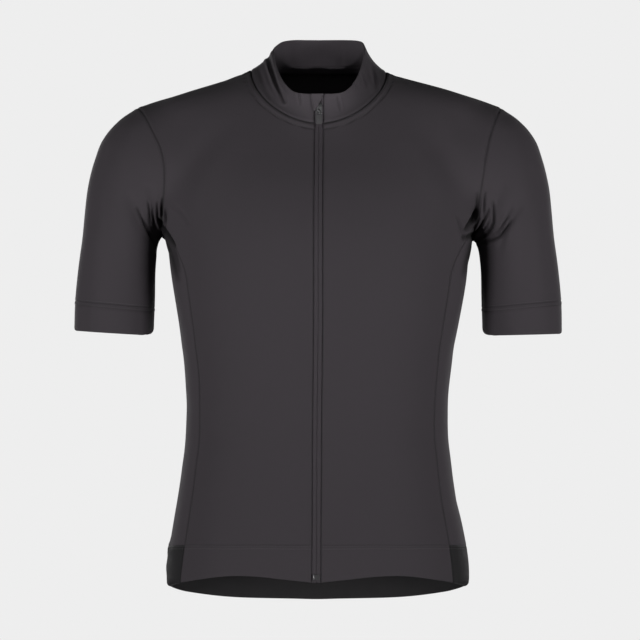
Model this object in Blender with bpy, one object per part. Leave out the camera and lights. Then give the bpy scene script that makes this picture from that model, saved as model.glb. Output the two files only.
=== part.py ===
"""A short-sleeved cycling jersey with a full zip, filled out as on a wearer, with no wearer in it.

Metres, +Z up, the front faces -Y and the wearer's left is +X. The origin is the middle of the
neck at the height where the shoulders carry the cloth. The tables are in millimetres.

The worn form is one smooth skin: a body tube and two arm tubes, blended where they meet. Each
piece of cloth is a grid stretched between its seams, laid on that skin and given a thickness.
Two pieces that are sewn together share their seam's points, each set back by half the seam gap.
"""

import math
from typing import NamedTuple

import bmesh
import bpy
import numpy as np
from mathutils import Matrix, Vector

MM = 0.001


class HardSizes(NamedTuple):
    """Half sizes and plate thickness of a hard piece of the zip."""

    half_width: float
    half_length: float
    plate: float
    taper: float = 1.0
    wedge: float = 0.9
    bridge: float = 1.0
    arch_half: float = 2.3


# ---------------------------------------------------------------- driving sizes, in millimetres

CLOTH = 1.2             # thickness of the knit
BAND = 1.8              # thickness of the doubled hems and cuffs
COLLAR = 1.7            # thickness of the doubled collar
SEAM_GAP = 0.3          # clearance between two pieces at a seam
ZIP_HALF = 5.0          # half of the zip that shows between the fronts
ZIP_SUNK = 0.5          # how far the zip lies behind the face of the fronts
SQUARENESS = 2.45       # superellipse power of the body's sections
ARM_SQUARENESS = 2.2    # the same for the sleeves

SIDE_SEAM_FRONT = 59.0  # degrees round the body, from the middle of the front
SIDE_SEAM_BACK = 119.0
ARMPIT_FRONT = (177.5, -33.0, -175.0)   # where the front side seam meets the armhole
ARMPIT_BACK = (177.5, 34.0, -175.0)
SIDE_SEAM_TURN = 0.84   # share of a side seam's height above which it turns to the armpit
SIDE_CROWDING = 1.35    # power by which its steps get shorter towards the armpit
SHOULDER_POINT = (209.0, 5.0, -34.0)
ARMHOLE_SKIN_SHARE = 0.3    # weight of the skin's own direction round the armhole

NECK_HALF_WIDTH = 78.0
NECK_SIDE = (8.0, 8.0)          # y and height of the neckline at the side
NECK_FRONT_HEIGHT = -58.0
NECK_BACK = (70.0, 12.0)        # y and height of the neckline at the middle of the back
NECK_POWER = 1.8                # below 2 the front of the neckline is nearer a V
NECK_BACK_POWER = 0.95

CUFF_TOP_HEIGHT = -260.0
CUFF_END_HEIGHT = -292.5
CUFF_SEAM_ANGLE = 27.0      # degrees from the inner side, below the corners of the armhole
CUFF_TOP_SLANT = 0.09       # rise per unit towards the outside of the arm
CUFF_END_SLANT = 0.03
CUFF_AXIS = 235.0           # x of the sleeve's middle at the cuff

POCKET_ROWS = 5                 # rows of the back's grid that the pockets cover
POCKET_GAPE = 2.6               # how far a pocket's mouth stands off the back
POCKET_INSET = 2                # columns of the back's grid beside the pockets
POCKET_CLEARANCE = 0.4
TAPE_ROWS = (0.2, 1.0, 1.35)    # rows of the collar's grid that the neck tape spans
TAPE_THICK = 1.0
TAPE_CLEARANCE = 0.9
TAPE_PARTS = 1.2                # how far a zip tape's edge draws back beside the slider's wedge


SLIDER = HardSizes(4.2, 6.5, 1.3, 0.8)
SLIDER_HEIGHT = -40.0
WEDGE_START = 0.5               # where the slider's wedge begins, above its middle
WEDGE_BITE = 0.3                # how far the wedge runs into both plates
ZIP_BOX = HardSizes(3.6, 3.0, 1.4)
ZIP_BOX_HEIGHT = -562.0
PULL_AT = -3.5                  # the pull's rod, above the slider's middle
PULL_OUT = 2.0                  # and how far out of the cloth's face
PULL_ROD = 0.6                  # radius
PULL_WINDOW = 1.4
PULL_RAIL = 1.2
PULL_NECK = 4.0                 # from the rod to the tab's plate
PULL_LENGTH = 15.0
PULL_HALF_WIDTH = 3.7
PULL_THICK = 1.2
HARD_BEVEL = 0.2
GARAGE_BELOW_TOP = 0.5
GARAGE_DROP = 19.5
GARAGE_LEFT = (-6.6, -9.0)      # its left edge at its lower and upper ends
GARAGE_RIGHT = (-4.0, 5.5)      # and its right edge
GARAGE_OUT = 1.5
GARAGE_THICK = 1.0

# Rounds of the two fits, and how many steps each seam is divided into.
LAYING_ROUNDS = 14
RELAXING_ROUNDS = 30
SIDE_STEPS = 13
ARMHOLE_STEPS = 13
UNDERARM_STEPS = 8
NECK_FRONT_STEPS = 9
NECK_BACK_STEPS = 12
SHOULDER_STEPS = 6
COLLAR_STEPS = 6
SLEEVE_STEPS = 11
CUFF_STEPS = 2
HEM_STEPS = 2
HEM_COLUMNS = NECK_FRONT_STEPS + SHOULDER_STEPS
GARAGE_ROWS = 5
GARAGE_COLUMNS = 4


class BodySection(NamedTuple):
    """A level section of the body: its half width and where its front, back and sides lie."""

    height: float
    half_width: float
    front: float
    back: float
    middle: float


BODY = (
    BodySection(24, 34, 20, 50, 32),
    BodySection(15, 60, 3, 66, 16),
    BodySection(8, 79, -8, 74, 9),
    BodySection(-2, 107.5, -23, 81, 8),
    BodySection(-16, 152.5, -39, 89, 8),
    BodySection(-30, 191, -49, 95, 7),
    BodySection(-44, 205, -57, 99, 6),
    BodySection(-60, 204, -66, 103, 5),
    BodySection(-90, 196, -82, 109, 3),
    BodySection(-130, 186, -102, 114, 1),
    BodySection(-180, 175, -116, 115, 0),
    BodySection(-230, 168, -118, 109, -1),
    BodySection(-300, 157, -111, 99, -2),
    BodySection(-385, 149.5, -102, 90, -3),
    BodySection(-450, 155, -103, 95, -2),
    BodySection(-520, 166, -108, 105, 0),
    BodySection(-565, 173, -111, 110, 0),
    BodySection(-620, 175, -112, 113, 0),
)


class ArmSection(NamedTuple):
    """A level section of the left sleeve: its inner and outer sides, front and back."""

    height: float
    inner: float
    outer: float
    front: float
    back: float


ARM = (
    ArmSection(-29, 186, 196, -1, 13),
    ArmSection(-34, 170, 209, -13, 27),
    ArmSection(-42, 154, 222, -26, 40),
    ArmSection(-54, 143, 236, -38, 50),
    ArmSection(-70, 139, 248, -46, 57),
    ArmSection(-95, 144, 257.5, -53, 61),
    ArmSection(-125, 157, 264.5, -56, 62),
    ArmSection(-155, 172, 268, -57, 61),
    ArmSection(-182, 183, 270.5, -57, 59),
    ArmSection(-215, 187, 275, -55, 56),
    ArmSection(-255, 188, 279, -53, 54),
    ArmSection(-310, 190, 280, -52, 53),
)


class Blend(NamedTuple):
    """How wide the body and the arm run into each other at a height."""

    height: float
    width: float


BLENDS = (
    Blend(-25, 8), Blend(-55, 16), Blend(-95, 36),
    Blend(-145, 34), Blend(-178, 17), Blend(-205, 12),
)


class HemPoint(NamedTuple):
    """The hem band's two edges at an angle round the body from the middle of the front."""

    angle: float
    top: float
    bottom: float


HEM = (
    HemPoint(0, -527, -568), HemPoint(8, -527, -565), HemPoint(18, -527, -562),
    HemPoint(29, -528, -562), HemPoint(44, -529, -567), HemPoint(59, -531, -573),
    HemPoint(90, -538, -584), HemPoint(120, -550, -597), HemPoint(150, -562, -608),
    HemPoint(180, -567, -612),
)


class RimPoint(NamedTuple):
    """A point of the collar's top edge at an angle round the neck from the front."""

    angle: float
    x: float
    y: float
    height: float


COLLAR_RIM = (
    RimPoint(0, 0, -58, -23), RimPoint(18, 16, -57.5, -23), RimPoint(34, 29, -53, -20),
    RimPoint(50, 39, -42, -10), RimPoint(70, 48, -19, 10), RimPoint(90, 52.5, 6, 30),
    RimPoint(110, 52, 26, 41), RimPoint(132, 45, 44, 46), RimPoint(154, 29, 56, 48),
    RimPoint(180, 0, 60, 48.5),
)
COLLAR_HOLLOW = 3.0     # how far the collar's sides curve in between its edges
COLLAR_FLAT_HALF = 30.0     # nearer the middle than this, that curve fades out


class Sway(NamedTuple):
    """How far the hanging cloth has shifted sideways at a height."""

    height: float
    shift: float


SWAY = (
    Sway(-600, -3.2), Sway(-520, -2.7), Sway(-400, -2.2), Sway(-300, -1.1), Sway(-120, -0.6),
    Sway(-60, 0),
)


class SeamPoint(NamedTuple):
    """A point that a seam of the left armhole passes."""

    x: float
    y: float
    height: float


ARMHOLE_FRONT = (
    SeamPoint(179.5, -44, -160), SeamPoint(182, -52, -140), SeamPoint(185, -55, -118),
    SeamPoint(188, -51, -95), SeamPoint(193, -44, -72), SeamPoint(201, -29, -50),
)
ARMHOLE_BACK = (
    SeamPoint(179.5, 45, -160), SeamPoint(182, 54, -140), SeamPoint(185, 59, -118),
    SeamPoint(188, 57, -95), SeamPoint(193, 50, -72), SeamPoint(201, 36, -50),
)
UNDERARM = (SeamPoint(179, -16, -181), SeamPoint(180, 0, -183), SeamPoint(179, 16, -181))


class Fold(NamedTuple):
    """A soft trough between two points of the front or back view; face is -1 for the front."""

    face: int
    x_start: float
    height_start: float
    x_end: float
    height_end: float
    width: float
    depth: float


FOLDS = (
    Fold(-1, 228, -140, 196, -182, 8, 3.4), Fold(-1, 206, -128, 190, -172, 7, 3.0),
    Fold(-1, 184, -130, 172, -172, 7, 2.8), Fold(-1, 170, -184, 160, -222, 8, 2.0),
    Fold(-1, -214, -138, -190, -186, 8, 3.0), Fold(-1, -188, -132, -183, -172, 7, 3.0),
    Fold(-1, -172, -168, -158, -215, 8, 2.2), Fold(1, 224, -130, 190, -178, 9, 3.0),
    Fold(1, -222, -134, -190, -180, 9, 3.0), Fold(1, 182, -126, 170, -172, 8, 2.4),
    Fold(1, -184, -124, -170, -172, 8, 2.4),
)
FOLD_TURN = (2.0, 5.0)      # y where a fold passes from front to back, and how gradually
COLLAR_CREASE = (-62.0, 22.0, -42.0, -22.0)     # x and height of its two ends
COLLAR_CREASE_WIDTH = 5.0
COLLAR_CREASE_DEPTH = 1.8
COLLAR_CREASE_BEHIND = 18.0     # it lies in front of this y


# ---------------------------------------------------------------- curves

def through(at, values, places):
    """Values of a smooth curve that passes the table's values; places may be an array."""
    at = np.asarray(at, float)
    values = np.asarray(values, float)
    steps = np.diff(at)
    slopes = np.diff(values, axis=0) / steps.reshape((-1,) + (1,) * (values.ndim - 1))
    shares = (steps[1:] / (steps[1:] + steps[:-1])).reshape((-1,) + (1,) * (values.ndim - 1))
    inner = slopes[:-1] * shares + slopes[1:] * (1 - shares)
    tangents = np.concatenate([slopes[:1], inner, slopes[-1:]])
    places = np.clip(np.asarray(places, float), at[0], at[-1])
    i = np.clip(np.searchsorted(at, places) - 1, 0, len(steps) - 1)
    step = steps[i]
    t = (places - at[i]) / step
    if values.ndim > 1:
        t, step = t[..., None], step[..., None]
    return (
        values[i] * (2 * t**3 - 3 * t**2 + 1)
        + values[i + 1] * (3 * t**2 - 2 * t**3)
        + tangents[i] * step * (t**3 - 2 * t**2 + t)
        + tangents[i + 1] * step * (t**3 - t**2)
    )


def column(table, name, heights):
    """One named column of a section table, read smoothly at the given heights."""
    rows = sorted(table, key=lambda row: row.height)
    return through([row.height for row in rows], [getattr(row, name) for row in rows], heights)


def resample(points, steps):
    """The same path with equal steps along it."""
    points = np.asarray(points, float)
    along = np.concatenate([[0], np.cumsum(np.linalg.norm(np.diff(points, axis=0), axis=1))])
    return through(along, points, np.linspace(0, along[-1], steps + 1))


def unit(vectors):
    return vectors / np.maximum(np.linalg.norm(vectors, axis=-1, keepdims=True), 1e-9)


# ---------------------------------------------------------------- the worn form

def tube(x, y, half_width, front, back, middle, power):
    """Above 0 outside a level section and below 0 inside, nearly in millimetres."""
    depth = np.where(y < middle, middle - front, back - middle)
    size = (np.abs(x) / half_width) ** power + (np.abs(y - middle) / depth) ** power
    return (size ** (1 / power) - 1) * np.sqrt(half_width * depth)


def form(points):
    """The worn form as a field: 0 on its skin, above 0 outside. Both arms are alike."""
    x, y, z = np.abs(points[..., 0]), points[..., 1], points[..., 2]
    body = tube(
        x, y, column(BODY, "half_width", z), column(BODY, "front", z), column(BODY, "back", z),
        column(BODY, "middle", z), SQUARENESS,
    )
    inner, outer = column(ARM, "inner", z), column(ARM, "outer", z)
    front, back = column(ARM, "front", z), column(ARM, "back", z)
    above = np.maximum(z - ARM[0].height, 0)
    arm = above + tube(
        x - (inner + outer) / 2, y, (outer - inner) / 2, front, back, (front + back) / 2,
        ARM_SQUARENESS,
    )
    width = column(BLENDS, "width", z)
    overlap = np.maximum(width - np.abs(body - arm), 0) / width
    return np.minimum(body, arm) - overlap**2 * width / 4


def slope(points):
    """The field's gradient."""
    step = 0.05
    return np.stack(
        [(form(points + axis) - form(points - axis)) / (2 * step) for axis in np.eye(3) * step],
        axis=-1,
    )


def on_skin(points):
    """The points moved onto the skin of the worn form."""
    points = np.array(points, float)
    for _ in range(LAYING_ROUNDS):
        g = slope(points)
        squared = np.maximum((g**2).sum(-1), 0.2)
        move = np.clip(form(points) / squared, -8, 8)
        points -= move[..., None] * g
    return points


def outward(points):
    return unit(slope(points))


def body_point(angle, height):
    """The body's skin at an angle in degrees from the middle of the front, on the left side."""
    power = 2 / SQUARENESS
    turn = np.radians(angle)
    middle = column(BODY, "middle", height)
    front, back = column(BODY, "front", height), column(BODY, "back", height)
    depth = np.where(np.cos(turn) > 0, middle - front, back - middle)
    x = column(BODY, "half_width", height) * np.abs(np.sin(turn)) ** power
    y = middle - np.sign(np.cos(turn)) * depth * np.abs(np.cos(turn)) ** power
    return np.stack([x, y, np.broadcast_to(height, x.shape)], axis=-1)


def arm_point(angle, height):
    """The left sleeve's skin at an angle in degrees from the inner side, by way of the front."""
    power = 2 / ARM_SQUARENESS
    turn = np.radians(angle)
    inner, outer = column(ARM, "inner", height), column(ARM, "outer", height)
    front, back = column(ARM, "front", height), column(ARM, "back", height)
    across = np.sign(np.cos(turn)) * np.abs(np.cos(turn)) ** power
    ahead = np.sign(np.sin(turn)) * np.abs(np.sin(turn)) ** power
    x = (inner + outer) / 2 - (outer - inner) / 2 * across
    y = (front + back) / 2 - (back - front) / 2 * ahead
    return np.stack([x, y, height], axis=-1)


def trough(x, z, x_start, z_start, x_end, z_end, width):
    """1 along the line between two points of a front view, fading across it and at its ends."""
    line = np.array([x_end - x_start, z_end - z_start])
    share = ((x - x_start) * line[0] + (z - z_start) * line[1]) / (line @ line)
    near = np.clip(share, 0, 1)
    away = np.hypot(x - x_start - near * line[0], z - z_start - near * line[1])
    return np.exp(-((away / width) ** 2)) * np.sin(np.pi * np.clip(0.15 + 0.7 * share, 0, 1))


def folded(points):
    """The points pressed in along the folds."""
    x, y, z = points[..., 0], points[..., 1], points[..., 2]
    pressed = np.zeros(x.shape)
    turn, width = FOLD_TURN
    for f in FOLDS:
        facing = 1 / (1 + np.exp(-f.face * (y - turn) / width))
        shape = trough(x, z, f.x_start, f.height_start, f.x_end, f.height_end, f.width)
        pressed += f.depth * shape * facing
    return points - outward(points) * pressed[..., None]


# ---------------------------------------------------------------- seams, on the wearer's left

def mirrored(points):
    return points * np.array([-1, 1, 1])


def side_heights(start):
    """Heights from the hem band up to the armpit, closer together towards the armpit."""
    shares = 1 - (1 - np.linspace(0, 1, SIDE_STEPS + 1)) ** SIDE_CROWDING
    return start + (ARMPIT_FRONT[2] - start) * shares


def side_seam(angle, armpit):
    """Up the body at one angle, and at its top over to the armpit."""
    start = through([p.angle for p in HEM], [p.top for p in HEM], angle)
    heights = side_heights(float(start))
    points = body_point(angle, heights)
    shares = (heights - heights[0]) / (heights[-1] - heights[0])
    turned = np.clip((shares - SIDE_SEAM_TURN) / (1 - SIDE_SEAM_TURN), 0, 1) ** 2
    return on_skin(points + turned[:, None] * (np.array(armpit) - points[-1]))


def seam_through(start, points, end, steps):
    """A seam on the skin from one point to another, by way of the points given."""
    way = np.array([start, *points, end], float)
    return resample(on_skin(resample(way, 4 * steps)), steps)


def hem_edge(edge, first, last, steps):
    """An edge of the hem band between two angles."""
    angles = np.linspace(first, last, steps + 1)
    heights = through([p.angle for p in HEM], [getattr(p, edge) for p in HEM], angles)
    return on_skin(body_point(angles, heights))


def neckline():
    """From beside the zip to the side of the neck, and on to the middle of the back."""
    turn = np.radians(np.linspace(0, 90, 4 * NECK_FRONT_STEPS + 1))
    power = 2 / NECK_POWER
    x = NECK_HALF_WIDTH * np.sin(turn) ** power
    drop = np.cos(turn) ** power
    z = NECK_SIDE[1] - (NECK_SIDE[1] - NECK_FRONT_HEIGHT) * drop
    y = np.minimum(column(BODY, "front", z) + 2, NECK_SIDE[0])
    front = on_skin(np.stack([x, y, z], axis=-1))
    front[:, 0] = np.maximum(front[:, 0], ZIP_HALF)
    front = front[np.searchsorted(front[:, 0], ZIP_HALF, side="right") - 1:]
    turn = np.radians(np.linspace(90, 180, 4 * NECK_BACK_STEPS + 1))
    x = NECK_HALF_WIDTH * np.sin(turn) ** NECK_BACK_POWER
    y = NECK_SIDE[0] - (NECK_BACK[0] - NECK_SIDE[0]) * np.cos(turn)
    z = NECK_SIDE[1] - (NECK_BACK[1] - NECK_SIDE[1]) * np.cos(turn)
    back = on_skin(np.stack([x, y, z], axis=-1))
    back[0], back[-1, 0] = front[-1], 0
    return resample(front, NECK_FRONT_STEPS), resample(back, NECK_BACK_STEPS // 2)


def front_edge():
    """The edge of the left front beside the zip, from the hem band up to the neckline."""
    top = neckline()[0][0]
    low = hem_edge("top", 0, SIDE_SEAM_FRONT, 1)[0][2]
    heights = np.concatenate([
        side_heights(low),
        np.linspace(ARMPIT_FRONT[2], top[2], ARMHOLE_STEPS + 1)[1:],
    ])
    return beside_zip(heights)


def beside_zip(heights):
    """Points of the front's skin at the zip's edge."""
    power = SQUARENESS
    middle, front = column(BODY, "middle", heights), column(BODY, "front", heights)
    width = column(BODY, "half_width", heights)
    depth = (middle - front) * (1 - (ZIP_HALF / width) ** power) ** (1 / power)
    return np.stack([np.full(heights.shape, ZIP_HALF), middle - depth, heights], axis=-1)


# ---------------------------------------------------------------- grids of cloth

def stretched(left, right, bottom, top):
    """A grid stretched between four seams and laid on the skin; rows run from bottom to top."""
    u = np.linspace(0, 1, len(bottom))[None, :, None]
    v = np.linspace(0, 1, len(left))[:, None, None]
    corners = (
        (1 - u) * (1 - v) * bottom[0] + u * (1 - v) * bottom[-1]
        + (1 - u) * v * top[0] + u * v * top[-1]
    )
    grid = (
        (1 - u) * left[:, None] + u * right[:, None]
        + (1 - v) * bottom[None] + v * top[None] - corners
    )
    edges = grid.copy()
    grid = on_skin(grid)
    for _ in range(RELAXING_ROUNDS):
        mean = (grid[:-2, 1:-1] + grid[2:, 1:-1] + grid[1:-1, :-2] + grid[1:-1, 2:]) / 4
        grid[1:-1, 1:-1] += 0.5 * (mean - grid[1:-1, 1:-1])
        grid[1:-1, 1:-1] = on_skin(grid[1:-1, 1:-1])
    for rows, columns in ((0, ...), (-1, ...)):
        grid[rows, columns] = edges[rows, columns]
    grid[:, 0], grid[:, -1] = edges[:, 0], edges[:, -1]
    return grid


def between(low, high, steps):
    """A grid between two edges with the same number of points, laid on the skin."""
    shares = np.linspace(0, 1, steps + 1)[:, None, None]
    grid = low[None] * (1 - shares) + high[None] * shares
    grid[1:-1] = on_skin(grid[1:-1])
    return grid


def square_step(edge, inside, ring=False):
    """From each point of an edge, a unit step into the cloth and square to the edge."""
    if ring:
        along = unit(np.roll(edge, -1, axis=0) - np.roll(edge, 1, axis=0))
    else:
        along = unit(np.gradient(edge, axis=0))
    step = inside - edge
    return unit(step - (step * along).sum(-1, keepdims=True) * along)


def set_back(grid, ring=False):
    """The grid with its edges moved in by half the seam gap."""
    moved = grid.copy()
    half = SEAM_GAP / 2
    moved[0] += square_step(grid[0], grid[1], ring) * half
    moved[-1] += square_step(grid[-1], grid[-2], ring) * half
    if not ring:
        moved[:, 0] += square_step(grid[:, 0], grid[:, 1]) * half
        moved[:, -1] += square_step(grid[:, -1], grid[:, -2]) * half
    return moved


def grid_normals(grid):
    """Unit normals of an open grid, to the left of its rows as they run."""
    return unit(np.cross(np.gradient(grid, axis=1), np.gradient(grid, axis=0)))


# ---------------------------------------------------------------- solids

def material(name, color, roughness, metallic=0.0):
    made = bpy.data.materials.new(name)
    made.use_nodes = True
    shader = made.node_tree.nodes["Principled BSDF"]
    shader.inputs["Base Color"].default_value = (*color, 1)
    shader.inputs["Roughness"].default_value = roughness
    shader.inputs["Metallic"].default_value = metallic
    return made


def swayed(points):
    """The points where the cloth hangs, a little to one side lower down."""
    moved = np.array(points, float)
    moved[..., 0] += column(SWAY, "shift", moved[..., 2])
    return moved


def add_object(name, points, faces, finish):
    """One closed solid, from points in millimetres."""
    mesh = bpy.data.meshes.new(name)
    mesh.from_pydata([tuple(p) for p in swayed(points) * MM], [], faces)
    made = bpy.data.objects.new(name, mesh)
    bpy.context.scene.collection.objects.link(made)
    made.data.materials.append(finish)
    mesh.shade_smooth()
    mesh.set_sharp_from_angle(angle=math.radians(35))
    return made


def add_wall(name, outer, inner, finish, ring=False):
    """A closed wall between two grids of the same size, the outer one facing out."""
    rows, columns = outer.shape[:2]
    inside = rows * columns

    def at(row, col):
        return row * columns + col % columns

    faces = []
    across = columns if ring else columns - 1
    for row in range(rows - 1):
        for col in range(across):
            quad = (at(row, col), at(row, col + 1), at(row + 1, col + 1), at(row + 1, col))
            faces.append(quad)
            faces.append(tuple(inside + k for k in reversed(quad)))
    for col in range(across):
        a, b = at(0, col), at(0, col + 1)
        faces.append((b, a, inside + a, inside + b))
        a, b = at(rows - 1, col), at(rows - 1, col + 1)
        faces.append((a, b, inside + b, inside + a))
    if not ring:
        for row in range(rows - 1):
            a, b = at(row, 0), at(row + 1, 0)
            faces.append((a, b, inside + b, inside + a))
            a, b = at(row, columns - 1), at(row + 1, columns - 1)
            faces.append((b, a, inside + a, inside + b))
    points = np.concatenate([outer.reshape(-1, 3), inner.reshape(-1, 3)])
    return add_object(name, points, faces, finish)


def add_cloth(name, grid, thickness, finish, directions=None, mirror=False, **edges):
    """A piece of cloth on the skin, folded and set back at its seams."""
    directions = outward(grid) if directions is None else directions
    outer = set_back(folded(grid), **edges)
    inner = outer - directions * thickness
    if mirror:
        outer, inner = mirrored(outer[:, ::-1]), mirrored(inner[:, ::-1])
    return add_wall(name, outer, inner, finish, ring=edges.get("ring", False))


# ---------------------------------------------------------------- pieces of cloth

class Seams(NamedTuple):
    """The seams on the wearer's left. Those that meet end in the same point."""

    zip_edge: np.ndarray
    side_front: np.ndarray
    side_back: np.ndarray
    armhole_front: np.ndarray
    armhole_back: np.ndarray
    underarm: np.ndarray
    shoulder: np.ndarray
    neck_front: np.ndarray
    neck_back: np.ndarray


def left_seams():
    neck_front, neck_back = neckline()
    side_front = side_seam(SIDE_SEAM_FRONT, ARMPIT_FRONT)
    side_back = side_seam(SIDE_SEAM_BACK, ARMPIT_BACK)
    tip = on_skin(np.array([SHOULDER_POINT]))[0]
    return Seams(
        front_edge(),
        side_front,
        side_back,
        seam_through(side_front[-1], ARMHOLE_FRONT, tip, ARMHOLE_STEPS),
        seam_through(side_back[-1], ARMHOLE_BACK, tip, ARMHOLE_STEPS),
        seam_through(side_front[-1], UNDERARM, side_back[-1], UNDERARM_STEPS),
        seam_through(neck_front[-1], (), tip, SHOULDER_STEPS),
        neck_front,
        neck_back,
    )


def front_grid(seams):
    """The left front, from the zip to the side seam and from the hem to the neck and shoulder."""
    right = np.concatenate([seams.side_front, seams.armhole_front[1:]])
    top = np.concatenate([seams.neck_front, seams.shoulder[1:]])
    bottom = hem_edge("top", 0, SIDE_SEAM_FRONT, len(top) - 1)
    bottom[0] = seams.zip_edge[0]
    return stretched(seams.zip_edge, right, bottom, top)


def back_grid(seams):
    """The whole back, from the wearer's left to right."""
    left = np.concatenate([seams.side_back, seams.armhole_back[1:]])
    top = np.concatenate([seams.shoulder[::-1], seams.neck_back[1:]])
    top = np.concatenate([top, mirrored(top[-2::-1])])
    bottom = hem_edge("top", SIDE_SEAM_BACK, 180, (len(top) - 1) // 2)
    bottom = np.concatenate([bottom, mirrored(bottom[-2::-1])])
    return stretched(left, mirrored(left), bottom, top)


def side_grid(seams):
    """The left side panel, from its front seam to its back seam."""
    bottom = hem_edge("top", SIDE_SEAM_FRONT, SIDE_SEAM_BACK, UNDERARM_STEPS)
    return stretched(seams.side_front, seams.side_back, bottom, seams.underarm)


def armhole(seams):
    """The whole left armhole as a ring, from the front side seam over the shoulder."""
    return np.concatenate([seams.armhole_front, seams.armhole_back[-2:0:-1], seams.underarm[:0:-1]])


def arm_ring(height, slant):
    """A ring of the left sleeve with as many points as the armhole."""
    seam = CUFF_SEAM_ANGLE
    angles = np.concatenate([
        np.linspace(seam, 180, ARMHOLE_STEPS + 1)[:-1],
        np.linspace(180, 360 - seam, ARMHOLE_STEPS + 1)[:-1],
        np.linspace(360 - seam, 360 + seam, UNDERARM_STEPS + 1)[:-1],
    ])
    points = arm_point(angles, np.full(angles.shape, float(height)))
    return arm_point(angles, points[:, 2] + slant * (points[:, 0] - CUFF_AXIS))


def relaxed_ring(grid):
    """The inner rows of a ring-shaped grid evened out on the skin."""
    grid = grid.copy()
    grid[1:-1] = on_skin(grid[1:-1])
    for _ in range(RELAXING_ROUNDS):
        mean = (
            grid[:-2] + grid[2:] + np.roll(grid, 1, axis=1)[1:-1] + np.roll(grid, -1, axis=1)[1:-1]
        ) / 4
        grid[1:-1] = on_skin(grid[1:-1] + 0.5 * (mean - grid[1:-1]))
    return grid


def sleeve_grid(seams):
    """The left sleeve, from the cuff band up to the armhole."""
    low = arm_ring(CUFF_TOP_HEIGHT, CUFF_TOP_SLANT)
    shares = np.linspace(0, 1, SLEEVE_STEPS + 1)[:, None, None]
    return relaxed_ring(low[None] * (1 - shares) + armhole(seams)[None] * shares)


def cuff_grid():
    low = arm_ring(CUFF_END_HEIGHT, CUFF_END_SLANT)
    return between(low, arm_ring(CUFF_TOP_HEIGHT, CUFF_TOP_SLANT), CUFF_STEPS)


def hem_grid(first, last, steps):
    """A stretch of the hem band, from its free edge up to the panels."""
    grid = between(
        hem_edge("bottom", first, last, steps), hem_edge("top", first, last, steps), HEM_STEPS
    )
    if first == 0:
        grid[:, 0] = beside_zip(grid[:, 0, 2])
    return grid


def rim():
    """The collar's top edge on the left, matching the neckline's points."""
    angles = [p.angle for p in COLLAR_RIM]
    places = [(p.x, p.y, p.height) for p in COLLAR_RIM]
    front = through(angles, places, np.linspace(0, 90, 4 * NECK_FRONT_STEPS + 1))
    front = front[front[:, 0] > ZIP_HALF]
    front = np.concatenate([[[ZIP_HALF, COLLAR_RIM[0].y, COLLAR_RIM[0].height]], front])
    back = through(angles, places, np.linspace(90, 180, 4 * NECK_BACK_STEPS + 1))
    return np.concatenate([
        resample(front, NECK_FRONT_STEPS), resample(back, NECK_BACK_STEPS // 2)[1:]
    ])


def whole_neck(left):
    """A left half, from the zip to the middle of the back, and its mirror image."""
    return np.concatenate([left, mirrored(left[-2::-1])])


def collar_grid(seams):
    """The whole collar, from the wearer's left of the zip round the back to the right."""
    low = whole_neck(np.concatenate([seams.neck_front, seams.neck_back[1:]]))
    high = whole_neck(rim())
    shares = np.linspace(0, 1, COLLAR_STEPS + 1)[:, None, None]
    grid = low[None] * (1 - shares) + high[None] * shares
    inward = -unit(np.cross(np.gradient(low, axis=0), unit(high - low)))
    across = np.minimum(np.abs(grid[..., :1]) / COLLAR_FLAT_HALF, 1)
    grid += inward[None] * COLLAR_HOLLOW * np.sin(np.pi * shares) * across
    crease = trough(grid[..., 0], grid[..., 2], *COLLAR_CREASE, COLLAR_CREASE_WIDTH)
    front = grid[..., 1] < COLLAR_CREASE_BEHIND
    return grid + inward[None] * (COLLAR_CREASE_DEPTH * crease * front)[..., None]


def neck_directions(seams, collar):
    """At the neckline, halfway between the directions of the body's cloth and the collar's."""
    left = np.concatenate([seams.neck_front, seams.neck_back[1:]])
    count = len(left)
    halfway = unit(outward(left) + grid_normals(collar)[0, :count])
    halfway[(0, -1), 0] = 0
    return halfway


def collar_facing(collar, neck):
    """The collar's directions: the neckline's at its seam, and straight ahead beside the zip."""
    facing = grid_normals(collar)
    facing[0] = whole_neck(neck)
    facing[:, (0, -1), 0] = 0
    return unit(facing)


def armhole_directions(front, back, side, sleeve):
    """Round the armhole, the directions that halve the angle between the sleeve and the body."""
    ring = sleeve[-1]
    body = np.concatenate([
        square_step(front[SIDE_STEPS:, -1], front[SIDE_STEPS:, -2]),
        square_step(back[SIDE_STEPS:, 0], back[SIDE_STEPS:, 1])[-2::-1],
        square_step(side[-1], side[-2])[-2:0:-1],
    ])
    both = square_step(ring, sleeve[-2], ring=True) + body
    facing = outward(ring)
    both *= np.sign((both * facing).sum(-1, keepdims=True))
    return unit(facing * ARMHOLE_SKIN_SHARE + both)


class Directions(NamedTuple):
    """Which way each body piece faces at its points; neighbours agree along their seams."""

    front: np.ndarray
    back: np.ndarray
    side: np.ndarray
    sleeve: np.ndarray


def agreed_directions(front, back, side, sleeve, neck):
    ring = armhole_directions(front, back, side, sleeve)
    tip, corner = ARMHOLE_STEPS, 2 * ARMHOLE_STEPS
    agreed = Directions(*(outward(grid) for grid in (front, back, side, sleeve)))
    agreed.sleeve[-1] = ring
    agreed.side[-1] = np.concatenate([ring[:1], ring[:corner - 1:-1]])
    agreed.front[-1, :NECK_FRONT_STEPS + 1] = neck[:NECK_FRONT_STEPS + 1]
    agreed.front[SIDE_STEPS:, -1] = ring[:tip + 1]
    agreed.back[-1, SHOULDER_STEPS:-SHOULDER_STEPS] = whole_neck(neck[NECK_FRONT_STEPS:])
    agreed.back[SIDE_STEPS:, 0] = ring[corner:tip - 1:-1]
    agreed.back[SIDE_STEPS:, -1] = mirrored(ring[corner:tip - 1:-1])
    return agreed


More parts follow.
